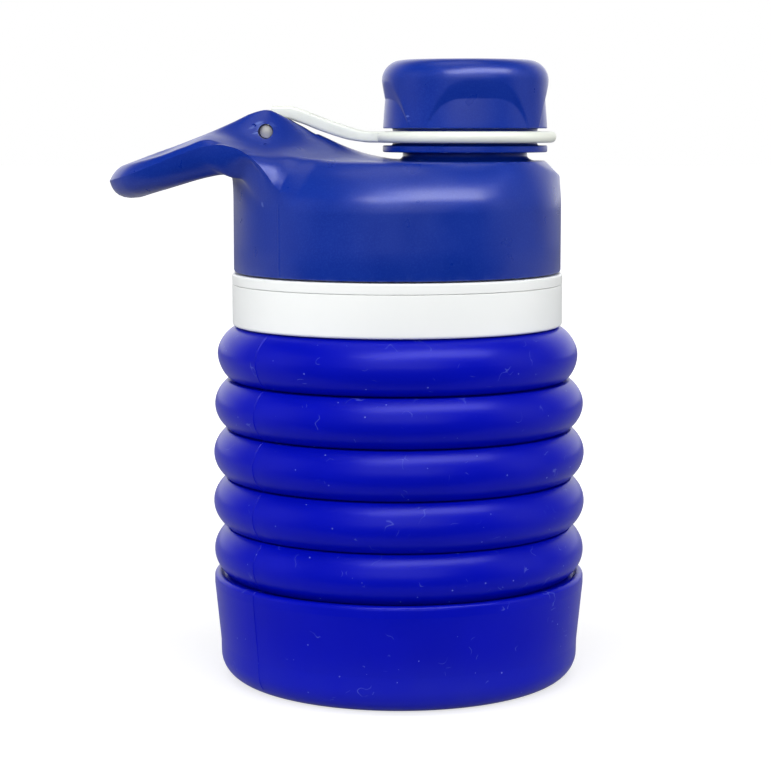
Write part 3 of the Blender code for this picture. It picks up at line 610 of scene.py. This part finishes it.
def ringCorners(index):
    radius = bellows["radii"][index]
    height = bellows["firstHeight"] + index * bellows["pitch"]
    centre, lip, cut = ringLips(radius)
    low, high = height - lipHeight, height + lipHeight
    corners = [
        (cut, height - cutHeight, 0), (cut, low, 0), (lip - 0.02, low, bellows["lipRound"]),
        (centre + arc / cos(arcEnd), height, arc - 0.16),
        (lip - 0.02, high, bellows["lipRound"]), (cut, high, 0), (cut, height + cutHeight, 0),
        (centre + arcInner / cos(arcEnd), height, arcInner - 0.05),
    ]
    return radius, height, corners


def makeRing(index):
    radius, height, corners = ringCorners(index)
    node = f"bellows_ring_{index + 1}"
    addMoulding(node + "_skin", corners, True, radius - 3.5, f"ring_{index + 1}", node)


neck = {
    "arcTop": 66,  # degrees above the top ring's middle where the sleeve leaves its arc
    "collarRadius": 35.3, "collarBottom": 76.1, "collarTop": 84.9, "collarWall": 1.6,
    "sleeveRadius": 33.4, "sleeveWall": 1.5, "insertRadius": 31.6, "insertWall": 2.2,
    "flangeBottom": 84.98, "flangeTop": 87.2, "edge": 0.14, "lowEdge": 0.6,
    "mouthRadius": 31, "mouthWall": 2.4, "mouthTop": 98,
    "thread": (5, 0.9, 1.6),  # pitch, height, width
    "threadStart": 1.6, "threadTurns": 1.5, "lidTurns": 1.2,
}


def makeShoulderRing():
    # The top ring runs on under the collar into the sleeve that is clamped on the neck
    n = neck
    radius, height, corners = ringCorners(len(bellows["radii"]) - 1)
    centre, high = radius - arc, radians(n["arcTop"])
    # Two tangent corners of the one arc
    middle, half = (high - arcEnd) / 2, (high + arcEnd) / 4
    reach = arc / cos(half)
    corners[3:] = [(centre + reach * cos(turn), height + reach * sin(turn), arc - 0.12)
                   for turn in (middle - half, middle + half)]
    sleeveIn = n["sleeveRadius"] - n["sleeveWall"]
    corners += [
        (centre + arc * cos(high) - 0.1, height + arc * sin(high) + 0.04, 0.3),
        (n["sleeveRadius"], n["collarBottom"] - 0.1, 0.3), (n["sleeveRadius"], n["collarTop"], 0),
        (sleeveIn, n["collarTop"], 0), (sleeveIn, n["collarBottom"], 0.5),
        (centre + arcInner * 0.72, height + arcInner * 1.02, 2),
        (centre + arcInner * 1.12, height, 3),
    ]
    addMoulding("bellows_ring_5_skin", corners, True, radius - 4.5, "neck", "bellows_ring_5")


def closedHeight(opened, gap, travel):
    # Where a point of the web lies in the closed fold, from where it lies in the open one
    if opened <= -gap:
        return opened
    if opened >= gap + travel:
        return opened - travel
    low, high = -gap, gap
    for _ in range(40):
        middle = (low + high) / 2
        if middle + travel * smooth((middle + gap) / (2 * gap)) < opened:
            low = middle
        else:
            high = middle
    return (low + high) / 2


def makeWeb(index):
    # Drawn pulled open as a V between its two rings, then laid in its closed place
    radii = bellows["radii"]
    crease = bellows["firstHeight"] + (index - 0.5) * bellows["pitch"]
    below = ringLips(radii[max(index - 1, 0)])
    above = ringLips(radii[index])
    gap, travel = bellows["lipGap"], bellows["travel"]
    wall = lipHeight - cutHeight
    nose = min(below[1], above[1]) - bellows["rootDepth"]
    foot, head = below[2] - 0.01, above[2] - 0.01
    shape = wireOf([
        (foot, -gap, 0), (nose + bellows["webNose"], travel / 2, 0.5), (head, travel + gap, 0),
        (head, travel + gap + wall, 0), (nose, travel / 2, 1.2), (foot, -gap - wall, 0),
    ])
    splitLong(shape, shape.edges[:], 0.5)
    for vert in shape.verts:
        vert.co.z = (crease + closedHeight(vert.co.z / mm, gap, travel)) * mm
    turnWire(shape, bellows["steps"], start=bellows["seam"])
    leanOver(shape)
    node = f"fold_{index + 1}"
    piece = addPiece(node + "_web", shape, "body", None, node, 60)
    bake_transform(piece)


makeBase()
for number in range(4):
    makeRing(number)
makeShoulderRing()
for number in range(5):
    makeWeb(number)
print("silicone body ready")


def threadRidge(radius, bottom, kind, turns, side=1, centre=0):
    # A helical ridge: one small section spun along the screw, thinned out at both ends
    # Side is 1 for a ridge that stands outwards, -1 inwards
    pitch, height, width = kind
    wall = radius * mm
    shape = bmesh.new()
    section = [(-0.3, -width / 2), (height, -width / 4), (height, width / 4), (-0.3, width / 2)]
    face = shape.faces.new([shape.verts.new(((radius + side * r) * mm, 0, (bottom + z) * mm))
                            for r, z in section])
    steps = 72  # in a turn
    spin(shape, [face, *face.edges, *face.verts], round(turns * steps), radians(turns * 360),
         False, rise=pitch / steps)
    for vert in shape.verts:
        # Heights tell how far along the screw a point lies
        turn = degrees(atan2(vert.co.y, vert.co.x)) % 360 / 360
        share = round((vert.co.z / mm - bottom) / pitch - turn) + turn
        fade = smooth(min(share, turns - share) / 0.12 + 0.04)
        reach = hypot(vert.co.x, vert.co.y)
        kept = wall + (reach - wall) * fade if side * (reach - wall) > 0 else reach
        vert.co.x *= kept / reach
        vert.co.y *= kept / reach
    shift(facedOut(shape), centre)
    return shape


def joinShapes(shape, others):
    for other in others:
        mesh = meshOf("joined", other)
        shape.from_mesh(mesh)
        bpy.data.meshes.remove(mesh)
    return shape


def makeCollar():
    n = neck
    addBand("clamp_collar_band", (n["collarRadius"] - n["collarWall"], n["collarRadius"]),
            (n["collarBottom"], n["collarTop"]), (0, n["lowEdge"], n["edge"], 0), "white",
            "neck", "clamp_collar", steps=180)


def makeInsert():
    n = neck
    mouth, insert, flange = n["mouthRadius"], n["insertRadius"], n["collarRadius"]
    mouthIn, insertIn = mouth - n["mouthWall"], insert - n["insertWall"]
    low = n["collarBottom"] + 1
    corners = [
        (mouth, n["mouthTop"], 0.6), (mouth, n["flangeTop"], 0.4), (flange, n["flangeTop"], 0.45),
        (flange, n["flangeBottom"], n["edge"]), (insert, n["flangeBottom"], 0), (insert, low, 0.3),
        (insertIn, low, 0.3), (insertIn, 84.2, 2), (mouthIn, 88, 2),
        (mouthIn, n["mouthTop"], 0.6),
    ]
    shape = turnWire(wireOf(corners), 180)
    ridge = threadRidge(n["mouthRadius"], n["flangeTop"] + n["threadStart"], n["thread"],
                        n["threadTurns"])
    addPiece("neck_insert_threaded", joinShapes(shape, [ridge]), "white", "neck", "neck_insert")


makeCollar()
makeInsert()
print("neck ready")


lid = {
    "radius": 34.9, "bottom": 87.5, "deck": 111, "wall": 2.5, "skirtEdge": 0.5,
    "edgeStart": 105, "shoulderStart": 100.7, "chamfer": 3.5,
    # The shoulder: a tight bend, then a slow one
    "bendRadius": 7.2, "bendAngle": 31, "slopeRadius": 17,
    "gasketSeat": 100.5, "headRadius": 26.5, "headCeiling": 107.8, "headRound": 1.6,
    # Shoulder depth against the angle from the spout side (degrees)
    "shoulderDepths": ((0, 0.6), (20, 3), (38, 4.6), (58, 7.4), (76, 8),
                       (180, 8)),
    # Plan of the handle's near half: distance inwards from the lid's wall, and y
    "handlePlan": ((-26.3, 0), (-25.6, 6), (-23.1, 11.6), (-18.3, 15.7), (-12.1, 17.8),
                   (-6.1, 18.7), (-1.1, 19.7), (3.4, 21.4), (7.1, 23.2)),
    # Angle and radius where the edge dies into the shoulder
    "outlineEnd": ((43.5, 35.15), (48, 34.58)),
    "handleSpread": 54,
    # Heights above the deck against the distance inwards from the lid's wall
    "edgeLine": ((-26.7, -4.4), (-21, -2.8), (-14.1, -0.2), (-9.1, 1.7), (-4.3, 3.2), (-1.5, 3.5),
                 (1.3, 3), (3.9, 1.8), (6.1, 0.1), (8, -2), (9.9, -4.7), (11.1, -6)),
    "ridgeLine": ((-26.1, -2), (-23.5, -1.2), (-14.5, 2.1), (-4.1, 6.05), (1, 8.4), (4.7, 10.1),
                  (7.5, 10.7), (10.1, 9.75), (13.9, 7.6), (19.9, 4.8), (24.9, 2.6), (29.9, 1.1),
                  (34.9, 0.3), (39.9, 0)),
    # The shelf beside the hump: its height at the hump's foot, and how steeply it falls outwards
    "shelfLine": ((-26.1, -2.6), (-21, -0.6), (-14.1, 1.45), (-9.1, 3.6), (-4.1, 5.3),
                  (-1.1, 4.5), (1.9, 3.1), (5, 2), (8.4, 1.2), (11.9, 0.7), (16.7, 0.3),
                  (22.9, 0.1), (28.9, 0)),
    "shelfFall": ((-26.1, 0.08), (-14.1, 0.15), (-7, 0.24), (-1.1, 0.25), (3, 0.17),
                  (8, 0.13), (14, 0.1), (22.9, 0.03), (28.9, 0)),
    "underside": ((-24.1, -9.6), (-22.1, -8.7), (-14.1, -5.8), (-9.1, -4.1), (-4.4, -2.7),
                  (-1.7, -2.3), (-0.1, -2.8), (1.9, -4.2), (6.9, -7.6), (11.9, -8.5)),
    # Half the hump's width at its top and at its foot
    "topHalf": ((-26.1, 5), (-20.1, 9.5), (-14.1, 11.6), (-8.1, 11.3), (-3.1, 9), (0.9, 6.4),
                (8, 6), (13, 4.4), (18.4, 2), (34.9, 1)),
    "footHalf": ((-26.1, 8.5), (-20.1, 12), (-14.1, 14.2), (-8.1, 14.4), (-3.1, 14.6),
                 (0.9, 15.2), (6.9, 16), (12, 16.6), (18.4, 17.8), (34.9, 22)),
    "seamTurn": 46.25, "seamHeight": 0.08,  # the parting line down the skirt
    "footSoftness": 1.35, "handleRound": 2.6, "handleHull": 5, "underShare": 6,
    "holeCentre": -46, "holeHalf": (8.2, 10.5), "holePower": 2.6, "holeRound": 1.4,
    # Scrapes beside the pin: x, z, half sizes, turn (degrees)
    "dents": ((-29.9, 118.5, (0.7, 0.5, 0.32), 35), (-28.9, 117.2, (0.3, 0.4, 0.2), 20),
              (-27.2, 114.7, (0.75, 0.35, 0.12), -15)),
    "fineColumns": 240, "fineHalf": 50, "plainColumns": 174,
    "rimSteps": (0, 0.15, 0.35, 0.6, 0.9, 1.3, 1.8, 2.4, 3, 3.45, 3.9, 4.8, 5.8, 7, 8.4,
                 10),
    "innerRows": 34, "lowerRows": 30,
}
hinge = {
    "x": -27.45, "z": 117.2, "pinRadius": 1.4, "pinHalf": 8.2, "pinRound": 0.18, "holeRadius": 1.56,
    "eyeRadius": 4.3, "slotHalf": 3.5, "slotOuter": 8, "slotInner": 14, "slotFloor": 5.6,
    "slotSill": 0.6, "slotHead": 9,
}
spout = {
    "x": 14.4, "radius": 12.6, "wall": 2, "top": 125.4, "capBase": 112.8, "collar": 0.6,
    "foot": 1.5, "boreMiddle": 117,
    "thread": (3, 0.7, 1.2), "threadStart": 2.2, "threadTurns": 2.2,
}


def keyAt(name, x):
    return along(lid[name], x + lid["radius"])


def levelAt(name, x):
    return lid["deck"] + keyAt(name, x)


def shoulderIn(z):
    # How far the front shoulder has come in at this height
    bend, slope, turn = lid["bendRadius"], lid["slopeRadius"], radians(lid["bendAngle"])
    rise = min(max(z - lid["shoulderStart"], 0), lid["deck"] - lid["shoulderStart"])
    if rise <= bend * sin(turn):
        return bend * (1 - cos(asin(rise / bend)))
    last = asin(sin(turn) + (rise - bend * sin(turn)) / slope)
    return bend * (1 - cos(turn)) + slope * (cos(turn) - cos(last))


def shoulderShare(z):
    return shoulderIn(z) / shoulderIn(lid["deck"])


def shoulderDrop(share):
    # How far below the deck the shoulder lies, as a share of the drop to the edge's start
    bend, slope, turn = lid["bendRadius"], lid["slopeRadius"], radians(lid["bendAngle"])
    inwards = share * shoulderIn(lid["deck"])
    first = bend * (1 - cos(turn))
    if inwards <= first:
        height = lid["shoulderStart"] + bend * sin(acos(1 - inwards / bend))
    else:
        height = lid["shoulderStart"] + bend * sin(turn)
        height += slope * (sin(acos(cos(turn) - (inwards - first) / slope)) - sin(turn))
    return (lid["deck"] - height) / (lid["deck"] - lid["edgeStart"])


def shoulderRadius(depth, z):
    return lid["radius"] - depth * shoulderShare(z)


def planRadius(beta):
    # Radius of the lid's outline in plan; beta is the angle (degrees) away from the handle's middle
    rim = shoulderRadius(along(lid["shoulderDepths"], 180 - beta), lid["edgeStart"])
    if beta >= lid["handleSpread"]:
        return rim
    outline = [(lid["radius"] - inwards, y) for inwards, y in lid["handlePlan"]]
    keys = [(degrees(atan2(y, out)), hypot(out, y)) for out, y in outline]
    return along(keys + [*lid["outlineEnd"], (lid["handleSpread"], rim)], beta)


def edgeHeight(beta, out):
    if beta >= lid["handleSpread"]:
        return lid["edgeStart"]
    return levelAt("edgeLine", -out * cos(radians(beta)))


def topHeight(r, beta, out, edge, depth):
    # Height of the lid's upper surface: deck, shoulder, hump and the handle's crowned top
    x, y = -r * cos(radians(beta)), r * sin(radians(beta))
    ridge, shelf = levelAt("ridgeLine", x), levelAt("shelfLine", x)
    half, foot = keyAt("topHalf", x), keyAt("footHalf", x)
    beyond = max(y - half, 0) / (foot - half)
    shelf -= keyAt("shelfFall", x) * (sqrt((y - foot) ** 2 + 4) + y - foot) / 2
    height = shelf + (ridge - shelf) * 0.5 ** ((2 * beyond) ** lid["footSoftness"])
    blend = smooth((beta - 24) / 32)
    inside = 1 - min((out - r) / lid["handleRound"], 1)
    rounded = (1 - sqrt(1 - (0.8 * inside) ** 2)) / 0.4
    rim = shoulderShare(lid["edgeStart"])
    share = min(rim + (out - r) / depth, 1)
    fall = rounded * (1 - blend) + shoulderDrop(share) * blend
    height -= (height - edge) * fall
    if beta > 70:
        height = min(height, lid["deck"] - (r - (lid["radius"] - lid["chamfer"])))
    across, beside = abs((x - lid["holeCentre"]) / lid["holeHalf"][0]), abs(y / lid["holeHalf"][1])
    power, rounding = lid["holePower"], lid["holeRound"]
    rim = ((across ** power + beside ** power) ** (1 / power) - 1) * lid["holeHalf"][0]
    if rim < rounding:
        height -= rounding - sqrt(rounding ** 2 - min(rounding - rim, rounding) ** 2)
    return height


def spline(control, count):
    # A uniform cubic B-spline that starts and ends on its first and last control points
    padded = [control[0]] * 2 + list(control) + [control[-1]] * 2
    spans = len(padded) - 3
    points = []
    for i in range(count):
        place = i / (count - 1) * spans
        k = min(int(place), spans - 1)
        t = place - k
        weights = ((1 - t) ** 3 / 6, (3 * t ** 3 - 6 * t * t + 4) / 6,
                   (-3 * t ** 3 + 3 * t * t + 3 * t + 1) / 6, t ** 3 / 6)
        points.append([sum(w * padded[k + j][a] for j, w in enumerate(weights)) for a in (0, 1)])
    return points


def lowerSide(beta, out, edge, depth):
    # From the outer edge down and in under the handle, or down the shoulder, to the wall
    count, radius, start = lid["lowerRows"], lid["radius"], lid["shoulderStart"]
    if beta >= lid["handleSpread"]:
        drop = start - lid["edgeStart"]
        levels = [lid["edgeStart"] + drop * i / (count - 1) for i in range(count)]
        return [(shoulderRadius(depth, z), z) for z in levels]
    share = smooth((out - radius) / 9)
    hullR = out - lid["handleHull"] * share
    hull = levelAt("underside", -hullR * cos(radians(beta)))
    hullZ = edge - share * (edge - hull + 0.4)
    rootR = radius + 1 * share
    root = levelAt("underside", -(rootR + 1) * cos(radians(beta)))
    rootZ = root + 0.8 * share
    control = [
        (out, edge), (out - 0.8 * share, edge + (hullZ - edge) * 0.62), (hullR, hullZ),
        ((hullR + rootR) / 2, (hullZ + rootZ) / 2 + 0.2 * share), (rootR, rootZ),
        (radius, max(rootZ - 1.6, start)), (radius, start),
    ]
    weight = min(share * lid["underShare"], 1)
    line = []
    for i, (r, z) in enumerate(spline(control, count)):
        down = i / (count - 1)
        plainZ = edge + (start - edge) * down
        plainR = radius + (out - radius) * shoulderShare(plainZ) / shoulderShare(edge)
        line.append((plainR + (r - plainR) * weight, plainZ + (z - plainZ) * weight))
    return line


def lidLine(beta):
    # One radial section: from the middle of the deck out, down, and back in under the deck
    depth = along(lid["shoulderDepths"], 180 - beta)
    out = planRadius(beta)
    edge = edgeHeight(beta, out)
    start = out - lid["rimSteps"][-1]
    radii = [start * i / lid["innerRows"] for i in range(lid["innerRows"])]
    radii += [out - step for step in reversed(lid["rimSteps"])]
    line = [(r, topHeight(r, beta, out, edge, depth)) for r in radii]
    line[-1] = (out, edge)
    line += lowerSide(beta, out, edge, depth)[1:]
    bottom, radius, wall = lid["bottom"], lid["radius"], lid["radius"] - lid["wall"]
    head, ceiling, rounding = lid["headRadius"], lid["headCeiling"], lid["headRound"]
    return line + [
        (radius, lid["shoulderStart"] - 7), (radius, bottom + lid["skirtEdge"]),
        (radius - 0.15, bottom + 0.15), (radius - lid["skirtEdge"], bottom), (wall, bottom),
        (wall, lid["gasketSeat"]), (head, lid["gasketSeat"]), (head, ceiling - rounding),
        (head - rounding, ceiling), (0, ceiling),
    ]


def lidBody():
    # Sections close together through the handle, further apart round the rest
    fine, half, plain = lid["fineColumns"], lid["fineHalf"], lid["plainColumns"]
    turns = [-half + 2 * half * i / fine for i in range(fine)]
    turns += [half + (360 - 2 * half) * i / plain for i in range(plain)] + [360 - half]
    lines = {}
    for turn in turns:
        beta = round(min(turn % 360, 360 - turn % 360), 6)
        lines[turn] = lines.get(beta) or lidLine(beta)
        lines[beta] = lines[turn]
    rows = len(lines[turns[0]])
    shape = bmesh.new()
    bmesh.ops.create_grid(shape, x_segments=len(turns) - 1, y_segments=rows - 1, size=1)
    for vert in shape.verts:
        column = round((vert.co.x + 1) / 2 * (len(turns) - 1))
        row = round((vert.co.y + 1) / 2 * (rows - 1))
        r, z = lines[turns[column]][row]
        onSeam = abs(abs(turns[column]) - lid["seamTurn"]) < 0.05
        if onSeam and r > lid["radius"] - 0.1 and z < lid["shoulderStart"] + 2:
            r += lid["seamHeight"]
        turn = radians(180 - turns[column])
        vert.co = (r * cos(turn) * mm, r * sin(turn) * mm, z * mm)
    return welded(shape)


def crossRod(radius, half, sides=64):
    # A round bar on the hinge's axis
    place = Matrix.Translation((hinge["x"] * mm, 0, hinge["z"] * mm))
    return makeBar(radius, 2 * half, sides, place @ Matrix.Rotation(pi / 2, 4, "X"))


def thickened(shape, half):
    # A flat outline in the XZ plane, filled and pushed out to both sides of the middle
    face = shape.faces.new(orderedVerts(shape))
    shift(shape, y=-half)
    return pushOut(shape, [face], y=2 * half)


def orderedVerts(shape):
    # The wire's points in their order round the loop
    vert = next(iter(shape.verts))
    edge = vert.link_edges[0]
    loop = []
    while vert not in loop:
        loop.append(vert)
        vert = edge.other_vert(vert)
        edge = next(e for e in vert.link_edges if e != edge)
    return loop


def slotTool():
    h = hinge
    x, z, floor = h["x"], h["z"], h["slotFloor"]
    outer, inner = x - h["slotOuter"], x + h["slotInner"]
    above, sill = z + h["slotHead"], z - h["slotSill"]
    corners = [
        (outer, above, 0), (outer, sill, 0), (x - floor, sill, 0),
        (x - floor, z - floor, floor - 0.05), (x + floor, z - floor, floor - 0.05),
        (x + floor, sill, 0), (inner, sill, 0), (inner, above, 0),
    ]
    return thickened(wireOf(corners), h["slotHalf"])


def fingerTool():
    shape = bmesh.new()
    bmesh.ops.create_circle(shape, cap_ends=True, segments=120, radius=1)
    power = lid["holePower"]
    for vert in shape.verts:
        a = atan2(vert.co.y, vert.co.x)
        size = (abs(cos(a)) ** power + abs(sin(a)) ** power) ** (-1 / power)
        vert.co = ((lid["holeCentre"] + lid["holeHalf"][0] * size * cos(a)) * mm,
                   lid["holeHalf"][1] * size * sin(a) * mm, lid["bottom"] * mm)
    return pushOut(shape, shape.faces[:], z=40)


def dentTool(x, z, size, turn):
    # A shallow scrape on the near flank of the hump: an ellipsoid sunk a little into the skin
    near, far = 4, 18
    for _ in range(30):
        y = (near + far) / 2
        beta = degrees(atan2(y, -x))
        out = planRadius(beta)
        depth = along(lid["shoulderDepths"], 180 - beta)
        inside = topHeight(hypot(x, y), beta, out, edgeHeight(beta, out), depth) > z
        near, far = (y, far) if inside else (near, y)
    shape = bmesh.new()
    bmesh.ops.create_uvsphere(shape, u_segments=24, v_segments=12, radius=1)
    bmesh.ops.scale(shape, verts=shape.verts[:], vec=[half * mm for half in size])
    bmesh.ops.rotate(shape, verts=shape.verts[:], matrix=Matrix.Rotation(radians(turn), 3, "Y"))
    shift(shape, x, -(near + 0.12), z)
    return shape


def spoutTool():
    s = spout
    deck = lid["deck"]
    radius = s["radius"]
    bore, foot, collar = radius - s["wall"], radius + s["foot"] + 0.6, radius + s["collar"]
    shape = wireOf([
        (bore, s["top"], 0.4), (radius, s["top"], 0.5), (radius, s["capBase"] + s["collar"], 0.3),
        (collar, s["capBase"], 0.2), (collar + 0.1, deck + 0.6, 0.8), (foot, deck, 0),
        (foot, deck - 1, 0), (bore, deck - 1, 0),
    ])
    shift(shape, s["x"])
    return turnWire(shape, 128, centre=s["x"])


def boreTool():
    place = Matrix.Translation((spout["x"] * mm, 0, spout["boreMiddle"] * mm))
    return makeBar(spout["radius"] - spout["wall"] + 0.02, 24, 128, place)


def makeLid():
    shape = combine(lidBody(), [
        (spoutTool(), "UNION"), (boreTool(), "DIFFERENCE"), (slotTool(), "DIFFERENCE"),
        (crossRod(hinge["holeRadius"], 20), "DIFFERENCE"), (fingerTool(), "DIFFERENCE")]
        + [(dentTool(*dent), "DIFFERENCE") for dent in lid["dents"]])
    n, s = neck, spout
    # Each thread inside runs half a pitch above the one that it turns on
    female = threadRidge(lid["radius"] - lid["wall"],
                         n["flangeTop"] + n["threadStart"] + n["thread"][0] / 2,
                         n["thread"], n["lidTurns"], -1)
    male = threadRidge(s["radius"], s["capBase"] + s["threadStart"], s["thread"],
                       s["threadTurns"], centre=s["x"])
    joinShapes(shape, [female, male])
    addPiece("lid_shell_moulding", shape, "navy", "lid", "lid_shell", 32)


makeLid()
print("lid ready")


def makePin():
    shape = crossRod(hinge["pinRadius"], hinge["pinHalf"], sides=48)
    rims = [edge for edge in shape.edges
            if all(abs(abs(vert.co.y) - hinge["pinHalf"] * mm) < 1e-6 for vert in edge.verts)]
    roundOff(shape, rims, hinge["pinRound"] * mm, 2)
    addPiece("hinge_pin_turned", shape, "steel", "lid", "hinge_pin")


tether = {
    "first": -26.6, "last": -3.6, "width": 6.2, "thickness": 2.8, "round": 0.7,
    "endThickness": 2.36, "endWidth": 12, "eyeRound": 0.3, "eyeHole": 1.5,
    "level": 116, "rise": 5.3,
    # Share of the strap's height against share of its way from the eye to the cap's ring
    "path": ((0, 0.96), (0.14, 0.97), (0.287, 0.8), (0.44, 0.54), (0.613, 0.28),
             (0.765, 0.09), (0.92, 0), (1, 0)),
    "ringInner": 15.8, "ringOuter": 19.4, "ringHeight": 2.4,
}


def strapHeight(share):
    return tether["level"] + along(tether["path"], share) * tether["rise"]


def makeStrap():
    t = tether
    shape = bmesh.new()
    bmesh.ops.create_cube(shape, size=1)
    bmesh.ops.scale(shape, verts=shape.verts[:], vec=(1, t["width"] * mm, t["thickness"] * mm))

    def longEdges():
        return [edge for edge in shape.edges if abs(edge.verts[0].co.x - edge.verts[1].co.x) > 0.5]

    roundOff(shape, longEdges(), t["round"] * mm, 4)
    bmesh.ops.subdivide_edges(shape, edges=longEdges(), cuts=47, use_grid_fill=True)
    run = t["last"] - t["first"]
    thinner = t["endThickness"] / t["thickness"] - 1
    wider = t["endWidth"] / t["width"] - 1
    for vert in shape.verts:
        share = vert.co.x + 0.5
        lift = vert.co.z * (1 + thinner * smooth((share - 0.6) / 0.3))
        vert.co.y *= 1 + wider * max((share - 0.78) / 0.22, 0) ** 2
        rise = strapHeight(min(share + 0.01, 1)) - strapHeight(max(share - 0.01, 0))
        slope = rise / (0.02 * run)
        tilt = atan2(slope, 1) if 0.02 < share < 0.98 else 0
        vert.co.x = (t["first"] + run * share) * mm - lift * sin(tilt)
        vert.co.z = strapHeight(share) * mm + lift * cos(tilt)
    eye = crossRod(hinge["eyeRadius"], t["width"] / 2)
    rims = [edge for edge in eye.edges if abs(edge.verts[0].co.y - edge.verts[1].co.y) < 1e-6]
    roundOff(eye, rims, t["eyeRound"] * mm, 2)
    shape = combine(shape, [(eye, "UNION"), (crossRod(t["eyeHole"], 8), "DIFFERENCE")])
    piece = addPiece("tether_strap_soft", shape, "tether", None, "tether_strap", 45)
    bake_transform(piece)


def makeTetherRing():
    t = tether
    half = t["ringHeight"] / 2
    addBand("tether_ring_soft", (t["ringInner"], t["ringOuter"]),
            (t["level"] - half, t["level"] + half), (0.4, half - 0.02, half - 0.02, 0.4),
            "tether", "cap_ring", "tether_ring", spout["x"])


makePin()
makeStrap()
makeTetherRing()
print("tether ready")


cap = {
    "bottom": 112.8, "top": 132.15, "radius": 17.7, "widest": 127.8, "topRound": 4.4,
    "skirt": 17.5, "skirtBottom": 117.8, "groove": 15.4, "flangeTop": 114.2, "bore": 14,
    "ceiling": 127.5, "edge": 0.3,
    "scallopTurn": -81.5, "scallopHalf": 38, "breakHeight": 6.16, "breakPower": 4,
    "archHeight": 9.85, "archPower": 3.1, "archEdge": 0.12, "floorAtBreak": 17,
    "reach": (17, 129),  # the scallops start outside this radius and end at this height
    "sideStep": 0.15, "steps": 360,
}


def scallopRadius(z, share, plain):
    # The thumb scallop: a panel that leans in up to its break, then a steep band back out
    c = cap
    skirt, low = c["skirt"], z - c["skirtBottom"]
    inner = c["breakHeight"] * (1 - abs(share) ** c["breakPower"])
    outer = max(c["archHeight"] * (1 - abs(share) ** c["archPower"]), inner + 0.05)
    lean = (skirt - c["floorAtBreak"]) / c["breakHeight"]
    cut = skirt - lean * low
    if low > inner:
        up = min(outer / (c["widest"] - c["skirtBottom"]), 1)
        edge = skirt + (c["radius"] - skirt) * up
        floor = skirt - lean * inner
        cut = floor + (edge - floor) * (low - inner) / (outer - inner)
    gap = plain - cut
    return plain - (gap + sqrt(gap * gap + c["archEdge"] ** 2)) / 2


def makeCap():
    c, s = cap, spout
    low, highest = c["skirtBottom"], c["reach"][1]
    corners = [
        (0, c["top"], 0), (c["radius"], c["top"], c["topRound"]),
        (c["radius"], c["widest"] - 1, 0), (c["skirt"], low, c["edge"]), (c["groove"], low, 0.25),
        (c["groove"], c["flangeTop"], 0.4), (c["skirt"], c["flangeTop"], 0.25),
        (c["skirt"], c["bottom"], 0.35), (c["bore"], c["bottom"], 0.4),
        (c["bore"], c["ceiling"], 0.4), (0, c["ceiling"], 0),
    ]
    shape = wireOf(corners, False, s["x"])
    side = [edge for edge in shape.edges
            if all(low + 0.2 < vert.co.z / mm < highest - 0.5 and
                   vert.co.x / mm - s["x"] > c["reach"][0] + 0.3 for vert in edge.verts)]
    splitLong(shape, side, c["sideStep"])
    turnWire(shape, c["steps"], centre=s["x"])
    for vert in shape.verts:
        z = vert.co.z / mm
        out = Vector((vert.co.x - s["x"] * mm, vert.co.y))
        if z < low + 0.01 or z > highest or out.length < c["reach"][0] * mm:
            continue
        turn = degrees(atan2(out.y, out.x))
        share = ((turn - c["scallopTurn"] + 45) % 90 - 45) / c["scallopHalf"]
        if abs(share) < 1:
            plain = out.length / mm
            out *= scallopRadius(z, share, plain) / plain
            vert.co.x, vert.co.y = out.x + s["x"] * mm, out.y
    female = threadRidge(c["bore"], s["capBase"] + s["threadStart"] + s["thread"][0] / 2,
                         s["thread"], s["threadTurns"], -1, s["x"])
    addPiece("spout_cap_moulding", joinShapes(shape, [female]), "navy", "cap", "spout_cap", 40)


# Inner and outer radius, lower and upper height, rounding of the four corners
seals = {
    "lid": ((27.7, 32.1), (98.3, 100.2), [0.4] * 4),
    "cap": ((9.5, 13.7), (125.7, 127.2), [0.35] * 4),
}


makeCap()
addBand("lid_gasket_ring", *seals["lid"], "seal", "lid_seal", "lid_gasket")
addBand("cap_seal_washer", *seals["cap"], "seal", "cap", "cap_seal", spout["x"], 96)
print("cap ready")
